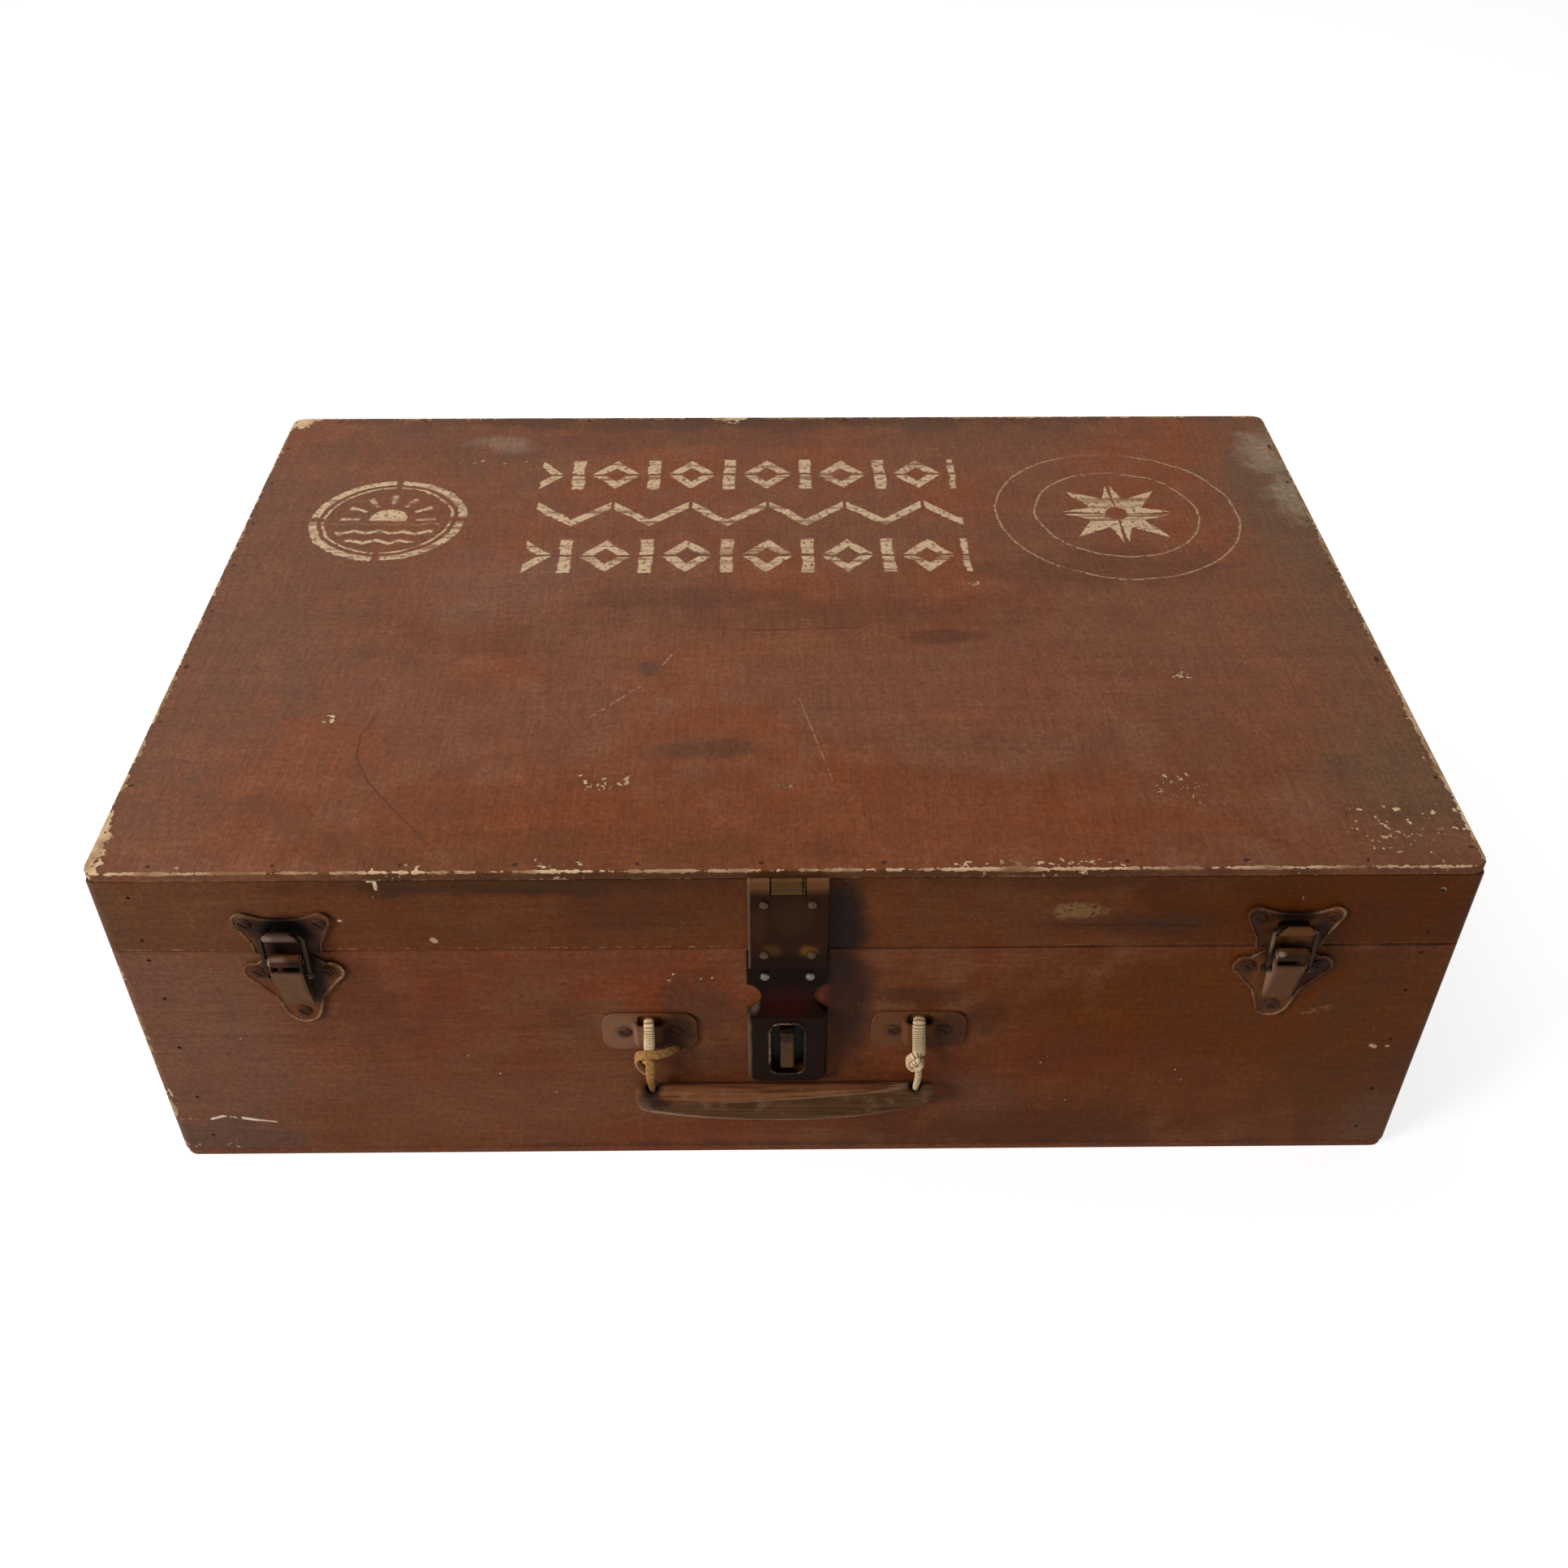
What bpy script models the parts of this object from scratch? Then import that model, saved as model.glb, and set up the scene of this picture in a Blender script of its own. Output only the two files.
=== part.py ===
"""Wooden suitcase trunk with a hinged lid, two draw latches, a hasp lock and a carrying handle.

Metres, +Z up. The origin is the centre of the underside. The front, with the lock, faces -Y.
Hardware on the front is placed by three distances: across from the middle of the case, stand-off
from the front face, and rise above the line where lid and base part.
"""
import math

import bmesh
import bpy
from mathutils import Matrix, Vector

# Fits
SEAT = 0.0003
OVERRUN = 0.002
MERGE = 0.0000001

# Case
CASE_WIDTH = 0.600
CASE_DEPTH = 0.412
BASE_HEIGHT = 0.1445
LID_HEIGHT = 0.0475
LID_GAP = 0.0004
BOARD = 0.010
TOP_PANEL = 0.005
BOTTOM_PANEL = 0.004
BOARD_CORNER = 0.004
PANEL_CORNER = 0.006
PANEL_EDGE = 0.0008
BOARD_EDGE = 0.0004
POST = 0.016

# Slotted screws
SCREW_HEAD_RADIUS = 0.0033
SCREW_HEAD_HEIGHT = 0.0010
SCREW_SHANK_RADIUS = 0.0013
SCREW_LENGTH = 0.0075
SCREW_SLOT_WIDTH = 0.0009
SCREW_SLOT_DEPTH = 0.0004
SCREW_SIDES = 10
SCREW_DOME_SHARE = 0.72
SCREW_RIM_SHARE = 0.45
SCREW_SLOT_ANGLE = 38

# Rear hinges
HINGE_INSET = 0.105
HINGE_WIDTH = 0.038
HINGE_LEAF_HEIGHT = 0.019
HINGE_SHEET = 0.0015
HINGE_OFFSET = 0.00305
KNUCKLE_RADIUS = 0.0027
KNUCKLE_WALL = 0.0012
HINGE_SCREW_INSET = 0.006
HINGE_SCREW_DROP = 0.0115
ROUND_SIDES = 16
NOTCH_SIDES = 24
SLIM_SIDES = 10

# Draw latches: both plates
LEFT_LATCH_INSET = 0.0796
RIGHT_LATCH_INSET = 0.0777
SHEET = 0.0012
BEAD_RADIUS = 0.0008
BEAD_LIFT = 0.0002

# Base plate of a latch
LATCH_EAR_REACH = 0.0165
LATCH_EAR_DROP = 0.0113
LATCH_EAR_RADIUS = 0.0055
LATCH_SHOULDER = 0.0095
LATCH_TOP_DROP = 0.0014
LATCH_WAIST_HALF = 0.0108
LATCH_WAIST_DROP = 0.0265
LATCH_FOOT_DROP = 0.0360
LATCH_FOOT_RADIUS = 0.0075
LATCH_EAR_SCREW = 0.0154
LATCH_FOOT_SCREW_DROP = 0.0368

# Lever and its pivot
PIVOT_STANDOFF = 0.0066
PIVOT_RISE = 0.0010
ROLL_RADIUS = 0.0030
ROLL_HALF = 0.0062
PIVOT_PIN_RADIUS = 0.0010
PIVOT_HEAD_RADIUS = 0.0019
CHEEK_RADIUS = 0.0028
LEVER_HALF = 0.0073
LEVER_SHEET = 0.0008
LEVER_FACE_SHEET = 0.0010
LEVER_FACE_TOP_DROP = 0.0040
LEVER_TOP_STANDOFF = 0.0102
LEVER_TIP_STANDOFF = 0.0040
LEVER_LENGTH = 0.0300
LEVER_BACK_STANDOFF = 0.0022
LEVER_TIP_SHARE = 0.86

# Loop
LOOP_THROW = 0.0085
LOOP_LENGTH = 0.0230
LOOP_BAR_STANDOFF = 0.0048
LOOP_HALF = 0.0103
LOOP_THICKNESS = 0.0016
LOOP_STRIP = 0.0024
LOOP_CHAMFER = 0.0024
LOOP_EYE_RADIUS = 0.0021
LOOP_PIN_RADIUS = 0.0009
LOOP_PIN_HEAD = 0.0007
LOOP_PIN_HEAD_RADIUS = 0.0017

# Catch plate on the lid
CATCH_EAR_REACH = 0.0170
CATCH_EAR_RISE = 0.0205
CATCH_EAR_RADIUS = 0.0040
CATCH_TOP_RISE = 0.0208
CATCH_WAIST_HALF = 0.0142
CATCH_WAIST_RISE = 0.0070
CATCH_SCREW = 0.0162
CATCH_SCREW_RISE = 0.0186
HOOK_HALF = 0.0075
HOOK_SHEET = 0.0010
HOOK_ROOT_RISE = 0.0078
HOOK_BEND_RISE = 0.0152
HOOK_BEND_STANDOFF = 0.0070
HOOK_LIP_STANDOFF = 0.0081
HOOK_LIP_RISE = 0.0193
HOOK_CORNER = 0.0030
HOOK_WINDOW_RISE = 0.0172

# Hasp
HASP_HALF = 0.0174
HASP_SHEET = 0.0012
HASP_STANDOFF = 0.0030
HASP_PIN_RISE = 0.0431
HASP_END_DROP = 0.0082
HASP_BARREL_RADIUS = 0.0026
HASP_PIN_RADIUS = 0.0012
HASP_TONGUE_HALF = 0.0073
HASP_TONGUE_LENGTH = 0.0062
HASP_TONGUE_GAP = 0.0006
HASP_LEAF_HALF = 0.0150
HASP_LEAF_RISE = 0.0075
HASP_LEAF_SCREW_HALF = 0.0085
HASP_LEAF_LOWER_SCREW_RISE = 0.0145
HASP_LEAF_UPPER_SCREW_RISE = 0.0285
HASP_LEAF_SCREW_HEAD = 0.0006
RIVET_HALF = 0.0105
LOWER_RIVET_RISE = 0.0006
UPPER_RIVET_RISE = 0.0314
RIVET_HEAD_RADIUS = 0.0023
RIVET_HEAD_HEIGHT = 0.0014
RIVET_SHANK_RADIUS = 0.0011
STAPLE_FLANGE_HALF = 0.0130
STAPLE_FLANGE_SHEET = 0.0008
STAPLE_FLANGE_TOP = 0.0030
STAPLE_HALF = 0.0032
STAPLE_WIRE_RADIUS = 0.0008
STAPLE_BEND = 0.0014
STAPLE_DROP = 0.0052
STAPLE_DEPTH = 0.0030

# Lock
LOCK_HALF = 0.0184
LOCK_TOP_DROP = 0.0007
LOCK_BOTTOM_DROP = 0.0845
LOCK_CORNER = 0.0060
LOCK_BOX_TOP_DROP = 0.0395
LOCK_RAMP = 0.0060
LOCK_STANDOFF = 0.0060
LOCK_SHEET = 0.0012
LOCK_EDGE = 0.0012
LOCK_NOTCH_DROP = 0.0296
LOCK_NOTCH_RADIUS = 0.0085
LOCK_NOTCH_DEPTH = 0.0066
LOCK_NAIL_HALF = 0.0102
LOCK_NAIL_DROP = 0.0160
LOCK_NAIL_HEAD_RADIUS = 0.0024
LOCK_NAIL_HEAD_HEIGHT = 0.0016
WINDOW_HALF = 0.0082
WINDOW_TOP_DROP = 0.0430
WINDOW_BOTTOM_DROP = 0.0780
WINDOW_CORNER = 0.0048
WINDOW_BEAD = 0.0007
STAPLE_SLOT_MARGIN = 0.0013

# Bolt, thumb slide and spring
BOLT_TRAVEL = 0.0030
BOLT_HALF = 0.0050
BOLT_SHEET = 0.0016
BOLT_NOSE_HALF = 0.0018
BOLT_NOSE_DROP = 0.0037
BOLT_SHOULDER_DROP = 0.0085
BOLT_FOOT_DROP = 0.0747
BOLT_FOOT_DEPTH = 0.0046
BOLT_FOOT_HALF = 0.0026
BOLT_FOOT_SHEET = 0.0012
THUMB_HALF = 0.0032
THUMB_TOP_DROP = 0.0502
THUMB_BOTTOM_DROP = 0.0740
THUMB_STANDOFF = 0.0062
THUMB_GUARD_HALF = 0.0095
THUMB_GUARD_SHEET = 0.0010
THUMB_GUARD_MARGIN = 0.0010
THUMB_EDGE = 0.0006
THUMB_KNOB_RADIUS = 0.0022
THUMB_KNOB_LIFT = 0.0004
SPRING_RADIUS = 0.0016
SPRING_WIRE_RADIUS = 0.00025
SPRING_LENGTH = 0.0092
SPRING_TURNS = 6
SPRING_POINTS = 10
POCKET_CLEARANCE = 0.0005

# Handle plates
LEFT_HANDLE_REACH = 0.0637
RIGHT_HANDLE_REACH = 0.0610
HANDLE_PLATE_HALF = 0.0220
HANDLE_PLATE_HEIGHT = 0.0240
HANDLE_PLATE_DROP = 0.0530
HANDLE_PLATE_CORNER = 0.0070
HANDLE_PLATE_EDGE = 0.0003
HANDLE_SCREW_REACH = 0.0120
BRIDGE_HALF = 0.0055
BRIDGE_HEIGHT = 0.0140
BRIDGE_STANDOFF = 0.0041
BRIDGE_RAMP = 0.0022

# Ties and grip
TIE_RADIUS = 0.00175
TIE_TAIL_RADIUS = 0.0015
TIE_STEPS = 8
KNOT_STANDOFF = 0.0080
KNOT_DROP = 0.0661
KNOT_RADIUS = 0.0033
LEFT_KNOT_HALF = 0.0052
RIGHT_KNOT_HALF = 0.0042
GRIP_LEFT = 0.0720
GRIP_RIGHT = 0.0695
GRIP_TOP_DROP = 0.0875
GRIP_DEEP = 0.0225
GRIP_LEFT_END_SHARE = 0.62
GRIP_RIGHT_END_SHARE = 0.36
GRIP_CAP_SHARE = 0.06
GRIP_CAP_PINCH_SHARE = 0.28
GRIP_THICKNESS = 0.0100
GRIP_THIN_SHARE = 0.72
GRIP_BACK = 0.0010
GRIP_STATIONS = 22
GRIP_RING_POINTS = 16
GRIP_SQUARENESS = 2.8
GRIP_HOLE_DEPTH = 0.0090

# Derived places
HALF_WIDTH = CASE_WIDTH / 2
HALF_DEPTH = CASE_DEPTH / 2
CASE_HEIGHT = BASE_HEIGHT + LID_HEIGHT
SPLIT_Z = BASE_HEIGHT
LID_FLOOR = SPLIT_Z + LID_GAP
LID_BOARD_TOP = CASE_HEIGHT - TOP_PANEL - SEAT
BASE_BOARD_FLOOR = BOTTOM_PANEL + SEAT
HINGE_Z = SPLIT_Z + LID_GAP / 2
LID_PIVOT = Vector((0, HALF_DEPTH + HINGE_OFFSET, HINGE_Z))
PLATE_TOP = SEAT + SHEET
BAR_TILT = math.asin((PIVOT_STANDOFF - LOOP_BAR_STANDOFF) / LOOP_LENGTH)
GRIP_MIDDLE = (GRIP_RIGHT - GRIP_LEFT) / 2
GRIP_HALF = (GRIP_RIGHT + GRIP_LEFT) / 2

# Colours as red, green, blue, then roughness and metallic value
FINISHES = {
    "painted_wood": ((0.150, 0.035, 0.022), 0.62, 0.0),
    "bare_wood": ((0.420, 0.270, 0.140), 0.70, 0.0),
    "painted_plate": ((0.120, 0.050, 0.035), 0.50, 0.3),
    "dark_steel": ((0.045, 0.035, 0.032), 0.42, 0.8),
    "steel": ((0.210, 0.190, 0.170), 0.38, 1.0),
    "brass": ((0.350, 0.200, 0.070), 0.38, 1.0),
    "leather": ((0.130, 0.075, 0.045), 0.75, 0.0),
    "tan_leather": ((0.420, 0.240, 0.110), 0.80, 0.0),
    "cord": ((0.560, 0.440, 0.300), 0.90, 0.0),
}


def clear_scene():
    """Remove every object that the file opens with."""
    for thing in list(bpy.data.objects):
        bpy.data.objects.remove(thing, do_unlink=True)


def new_collection(name):
    """Add a collection to the scene."""
    made = bpy.data.collections.new(name)
    bpy.context.scene.collection.children.link(made)
    return made


def new_material(name):
    """A Principled material from the table of finishes."""
    colour, roughness, metallic = FINISHES[name]
    made = bpy.data.materials.new(name)
    made.use_nodes = True
    shader = made.node_tree.nodes["Principled BSDF"]
    shader.inputs["Base Color"].default_value = (*colour, 1)
    shader.inputs["Roughness"].default_value = roughness
    shader.inputs["Metallic"].default_value = metallic
    return made


class Workshop:
    """The collections and materials that every piece uses."""

    def __init__(self):
        self.parts = new_collection("wooden_trunk")
        self.cutters = new_collection("cutters")
        self.finishes = {name: new_material(name) for name in FINISHES}

    def part(self, thing, name, finish, pivot=None):
        """Name a finished object, give it its material and put it with the parts.

        A piece that turns has its origin on the pivot of its joint.
        """
        thing.name = name
        thing.data.name = name
        if pivot is not None:
            thing.data.transform(Matrix.Translation(-pivot))
            thing.location = pivot
        thing.data.materials.clear()
        thing.data.materials.append(self.finishes[finish])
        self.parts.objects.link(thing)
        return thing

    def cutter(self, thing, name):
        """Put a helper shape with the cutters, out of sight."""
        thing.name = name
        thing.hide_render = True
        thing.display_type = "WIRE"
        self.cutters.objects.link(thing)
        return thing

    def combine(self, target, tool, operation):
        """Cut a helper shape from an object, or join it on."""
        self.cutter(tool, f"{target.name}_{operation.lower()}")
        step = target.modifiers.new(operation.lower(), "BOOLEAN")
        step.operation = operation
        step.solver = "EXACT"
        step.object = tool
        return target

    def bake(self, thing):
        """Replace an object's mesh with its evaluated one, and drop its modifiers."""
        bpy.context.scene.collection.objects.link(thing)
        bpy.context.view_layer.update()
        view = bpy.context.evaluated_depsgraph_get()
        mesh = bpy.data.meshes.new_from_object(thing.evaluated_get(view))
        bpy.context.scene.collection.objects.unlink(thing)
        thing.modifiers.clear()
        if thing.type == "MESH":
            thing.data = mesh
            return thing
        made = bpy.data.objects.new(thing.name, mesh)
        made.matrix_world = thing.matrix_world.copy()
        bpy.data.objects.remove(thing)
        weld(mesh)
        return made

    def shape(self, target, cuts=(), joins=()):
        """Join shapes onto an object, then cut others away, and bake the result."""
        for tool in joins:
            self.combine(target, tool, "UNION")
        for tool in cuts:
            self.combine(target, tool, "DIFFERENCE")
        return self.bake(target)


def weld(mesh):
    """Merge a mesh's doubled points."""
    work = bmesh.new()
    work.from_mesh(mesh)
    bmesh.ops.remove_doubles(work, verts=work.verts, dist=MERGE)
    bmesh.ops.recalc_face_normals(work, faces=work.faces)
    work.to_mesh(mesh)
    work.free()


def mesh_object(name, work):
    """Turn a bmesh into an object."""
    mesh = bpy.data.meshes.new(name)
    bmesh.ops.recalc_face_normals(work, faces=work.faces)
    work.to_mesh(mesh)
    work.free()
    return bpy.data.objects.new(name, mesh)


def smooth(thing, degrees=35):
    """Shade the round faces smooth and keep the sharp edges."""
    thing.data.shade_smooth()
    thing.data.set_sharp_from_angle(angle=math.radians(degrees))
    return thing


def box(name, low, high):
    """A box between two corners."""
    low, high = Vector(low), Vector(high)
    work = bmesh.new()
    bmesh.ops.create_cube(work, size=1)
    bmesh.ops.scale(work, vec=high - low, verts=work.verts)
    bmesh.ops.translate(work, vec=(low + high) / 2, verts=work.verts)
    return mesh_object(name, work)


TURNS = {
    "X": Matrix.Rotation(math.radians(90), 4, "Y"),
    "Y": Matrix.Rotation(math.radians(90), 4, "X"),
    "Z": Matrix.Identity(4),
}


def rod(name, radius, middle, length, axis, sides=ROUND_SIDES):
    """A cylinder about one axis; along Y its turned start faces the front."""
    work = bmesh.new()
    bmesh.ops.create_cone(work, cap_ends=True, segments=sides, radius1=radius, radius2=radius, depth=length)
    bmesh.ops.transform(work, matrix=Matrix.Translation(middle) @ TURNS[axis], verts=work.verts)
    return mesh_object(name, work)


def prism(name, outline, low, high, axis):
    """A flat outline drawn out along one axis: (y, z) for X, (x, z) for Y and (x, y) for Z."""
    work = bmesh.new()
    placed = {
        "X": lambda a, b: (low, a, b),
        "Y": lambda a, b: (a, low, b),
        "Z": lambda a, b: (a, b, low),
    }[axis]
    face = work.faces.new([work.verts.new(placed(a, b)) for a, b in outline])
    travel = {"X": (high - low, 0, 0), "Y": (0, high - low, 0), "Z": (0, 0, high - low)}[axis]
    grown = bmesh.ops.extrude_face_region(work, geom=[face])["geom"]
    bmesh.ops.translate(work, vec=travel, verts=[v for v in grown if isinstance(v, bmesh.types.BMVert)])
    return mesh_object(name, work)


def arc(middle, radius, start, end, steps):
    """Points along a circle's arc, angles in degrees."""
    angles = [math.radians(start + (end - start) * n / steps) for n in range(steps + 1)]
    return [(middle[0] + radius * math.cos(a), middle[1] + radius * math.sin(a)) for a in angles]


def rounded(left, right, low, high, radii, steps=3):
    """A rectangle with its own radius at each corner: low right, high right, high left, low left."""
    corners = ((right, low, -1, 1), (right, high, -1, -1), (left, high, 1, -1), (left, low, 1, 1))
    points = []
    for number, ((x, y, inward_x, inward_y), radius) in enumerate(zip(corners, radii)):
        if radius:
            start = -90 + 90 * number
            points += arc((x + inward_x * radius, y + inward_y * radius), radius, start, start + 90, steps)
        else:
            points.append((x, y))
    return points


def mirrored(half):
    """A whole outline from its right half, which runs from the top middle to the bottom middle."""
    return half + [(-x, z) for x, z in reversed(half) if x > MERGE]


def soften(thing, width, segments=1):
    """Round an object's sharp edges."""
    step = thing.modifiers.new("edges", "BEVEL")
    step.width = width
    step.segments = segments
    step.limit_method = "ANGLE"
    step.angle_limit = math.radians(50)
    return thing


def tube(name, points, radius, closed=False, rounding=2):
    """A round wire or cord along a line of points."""
    curve = bpy.data.curves.new(name, "CURVE")
    curve.dimensions = "3D"
    curve.bevel_depth = radius
    curve.bevel_resolution = rounding
    curve.use_fill_caps = True
    line = curve.splines.new("POLY")
    line.points.add(len(points) - 1)
    for point, place in zip(line.points, points):
        point.co = (*place, 1)
    line.use_cyclic_u = closed
    return bpy.data.objects.new(name, curve)


def front_y(standoff):
    """The Y of a place that far in front of the case."""
    return -HALF_DEPTH - standoff


def front_place(across, standoff, rise):
    """A place on the front, by its distance across, stand-off and rise above the parting line."""
    return Vector((across, front_y(standoff), SPLIT_Z + rise))


def front_plate(name, outline, across, back, front):
    """A sheet piece parallel to the front face, from an outline in (across, rise)."""
    placed = [(across + x, SPLIT_Z + z) for x, z in outline]
    return prism(name, placed, front_y(back), front_y(front), "Y")


def side_profile(name, outline, across, half):
    """A shape drawn in (stand-off, rise) and drawn out sideways by the same amount each way."""
    placed = [(front_y(s), SPLIT_Z + z) for s, z in outline]
    return prism(name, placed, across - half, across + half, "X")


def front_bead(name, outline, across, standoff, radius, closed=False):
    """A round raised rim along an outline in (across, rise)."""
    places = [front_place(across + x, standoff, z) for x, z in outline]
    return tube(name, places, radius, closed, 1)


def turned(name, profile, place, inward, sides):
    """A turned piece: (radius, depth) pairs from the top of its head down its outer side.

    Depth is measured along `inward`, the way that the piece is driven in.
    """
    work = bmesh.new()
    line = [work.verts.new((r, 0, -d)) for r, d in profile]
    for a, b in zip(line, line[1:]):
        work.edges.new((a, b))
    mesh = bpy.data.meshes.new(name)
    work.to_mesh(mesh)
    work.free()
    made = bpy.data.objects.new(name, mesh)
    spin = made.modifiers.new("turn", "SCREW")
    spin.steps = sides
    spin.render_steps = sides
    spin.use_merge_vertices = True
    spin.merge_threshold = MERGE
    turn = Vector((0, 0, -1)).rotation_difference(Vector(inward)).to_matrix().to_4x4()
    made.matrix_basis = Matrix.Translation(place) @ turn
    return made


def solid_copy(shop, thing):
    """Bake a turned piece and weld it, in place."""
    made = shop.bake(thing)
    made.data.transform(made.matrix_basis)
    made.matrix_basis = Matrix.Identity(4)
    weld(made.data)
    return made


INWARD = Vector((0, 1, 0))
OUTWARD = Vector((0, -1, 0))


def screw(shop, place, inward):
    """A slotted wood screw whose head stands on the face that `place` lies on."""
    profile = [
        (0, -SCREW_HEAD_HEIGHT),
        (SCREW_HEAD_RADIUS * SCREW_DOME_SHARE, -SCREW_HEAD_HEIGHT),
        (SCREW_HEAD_RADIUS, -SCREW_HEAD_HEIGHT * SCREW_RIM_SHARE),
        (SCREW_HEAD_RADIUS, SHEET / 2),
        (SCREW_SHANK_RADIUS, SHEET / 2),
        (SCREW_SHANK_RADIUS, SCREW_LENGTH - SCREW_SHANK_RADIUS),
        (0, SCREW_LENGTH),
    ]
    return solid_copy(shop, turned("screw", profile, place, inward, SCREW_SIDES))


def screw_slot(place, inward):
    """The cutter for the slot across a screw's head."""
    reach = Vector((SCREW_HEAD_RADIUS + OVERRUN, SCREW_SLOT_DEPTH, SCREW_SLOT_WIDTH / 2))
    slot = box("slot", -reach, reach)
    slot.data.transform(Matrix.Rotation(math.radians(SCREW_SLOT_ANGLE), 4, "Y"))
    slot.data.transform(Matrix.Translation(place - inward * SCREW_HEAD_HEIGHT))
    return slot


def screwed(shop, plate, places, inward=INWARD):
    """A plate with its screws, which are one piece with it here, and their slots."""
    plate = shop.shape(plate, joins=[screw(shop, place, inward) for place in places])
    return shop.shape(plate, [screw_slot(place, inward) for place in places])


def pilot(place, inward):
    """The cutter for the hole that a screw's shank needs in the wood."""
    depth = SCREW_LENGTH + SEAT
    middle = place + inward * depth / 2
    return rod("pilot", SCREW_SHANK_RADIUS + SEAT, middle, depth, "Y", SCREW_SIDES)


class Case:
    """The base and the lid: boards, panels and corner posts."""

    def __init__(self, shop):
        self.shop = shop
        self.holes = {"base_front": [], "base_back": [], "lid_front": [], "lid_back": []}
        self.pivots = {"base": None, "lid": LID_PIVOT}

    def long_board(self, part, end, floor, top):
        """A front or back board, full width, with its outer corners rounded and its holes cut."""
        face = -1 if end == "front" else 1
        outer = face * HALF_DEPTH
        inner = face * (HALF_DEPTH - BOARD)
        low, high = min(outer, inner), max(outer, inner)
        radii = (0, BOARD_CORNER, BOARD_CORNER, 0) if face > 0 else (BOARD_CORNER, 0, 0, BOARD_CORNER)
        outline = rounded(-HALF_WIDTH, HALF_WIDTH, low, high, radii)
        name = f"{part}_{end}_board"
        board = self.shop.bake(soften(prism(name, outline, floor, top, "Z"), BOARD_EDGE))
        board = self.shop.shape(board, self.holes[f"{part}_{end}"])
        return self.shop.part(board, name, "painted_wood", self.pivots[part])

    def side_board(self, part, side, floor, top):
        """A side board between the front and back boards."""
        edge = -1 if side == "left" else 1
        outer = edge * HALF_WIDTH
        inner = edge * (HALF_WIDTH - BOARD)
        reach = HALF_DEPTH - BOARD - SEAT
        name = f"{part}_{side}_board"
        board = box(name, (min(outer, inner), -reach, floor), (max(outer, inner), reach, top))
        board = self.shop.bake(soften(board, BOARD_EDGE))
        return self.shop.part(board, name, "painted_wood", self.pivots[part])

    def post(self, part, end, side, floor, top):
        """A square corner post, to which the boards are nailed from outside."""
        outward = Vector((-1 if side == "left" else 1, -1 if end == "front" else 1))
        outer = Vector((HALF_WIDTH, HALF_DEPTH)) - Vector((BOARD + SEAT, BOARD + SEAT))
        inner = outer - Vector((POST, POST))
        xs = sorted((outward.x * outer.x, outward.x * inner.x))
        ys = sorted((outward.y * outer.y, outward.y * inner.y))
        name = f"{part}_{end}_{side}_post"
        post = box(name, (xs[0], ys[0], floor), (xs[1], ys[1], top))
        return self.shop.part(post, name, "bare_wood", self.pivots[part])

    def panel(self, part, end, floor, top):
        """The top or bottom panel, which covers the boards' edges."""
        name = f"{part}_{end}_panel"
        radii = (PANEL_CORNER,) * 4
        outline = rounded(-HALF_WIDTH, HALF_WIDTH, -HALF_DEPTH, HALF_DEPTH, radii, 4)
        panel = soften(prism(name, outline, floor, top, "Z"), PANEL_EDGE, 2)
        return self.shop.part(self.shop.bake(panel), name, "painted_wood", self.pivots[part])

    def build(self):
        """Make the wooden pieces."""
        for part, floor, top in (("base", BASE_BOARD_FLOOR, SPLIT_Z), ("lid", LID_FLOOR, LID_BOARD_TOP)):
            for end in ("front", "back"):
                self.long_board(part, end, floor, top)
            for side in ("left", "right"):
                self.side_board(part, side, floor, top)
            for end in ("front", "back"):
                for side in ("left", "right"):
                    self.post(part, end, side, floor, top)
        self.panel("base", "bottom", 0, BOTTOM_PANEL)
        self.panel("lid", "top", CASE_HEIGHT - TOP_PANEL, CASE_HEIGHT)


def leaf_outline(up, knuckles):
    """A hinge leaf's outline in (x, rise from the pin): a plate with a neck down to each knuckle."""
    half = HINGE_WIDTH / 2
    near = KNUCKLE_RADIUS + SEAT
    far = near + HINGE_LEAF_HEIGHT
    outline = [(half, near), (half, far), (-half, far), (-half, near)]
    for left, right in knuckles:
        outline += [(left, near), (left, 0), (right, 0), (right, near)]
    kept = [point for n, point in enumerate(outline) if point != outline[n - 1]]
    return [(x, up * rise) for x, rise in kept]


def hinge_leaf(shop, name, across, up, knuckles):
    """One leaf of a butt hinge on the back face, with its own knuckles; `up` is 1 on the lid."""
    inner = HALF_DEPTH + SEAT
    outline = [(across + x, HINGE_Z + rise) for x, rise in leaf_outline(up, knuckles)]
    leaf = prism(name, outline, inner, inner + HINGE_SHEET, "Y")
    middle = Vector((across, HALF_DEPTH + HINGE_OFFSET, HINGE_Z))
    joins = []
    for left, right in knuckles:
        centre = middle + Vector(((left + right) / 2, 0, 0))
        joins.append(rod("knuckle", KNUCKLE_RADIUS, centre, right - left, "X"))
    bore = rod("bore", KNUCKLE_RADIUS - KNUCKLE_WALL + SEAT, middle, HINGE_WIDTH + 2 * OVERRUN, "X")
    leaf = screwed(shop, shop.shape(leaf, [bore], joins), hinge_screws(across, up), OUTWARD)
    return shop.part(smooth(leaf), name, "painted_plate", LID_PIVOT if up > 0 else None)


def hinge_screws(across, up):
    """Where a leaf's screw heads sit."""
    reach = HINGE_WIDTH / 2 - HINGE_SCREW_INSET
    y = HALF_DEPTH + SEAT + HINGE_SHEET
    return [Vector((across + x, y, HINGE_Z + up * HINGE_SCREW_DROP)) for x in (-reach, reach)]


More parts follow.
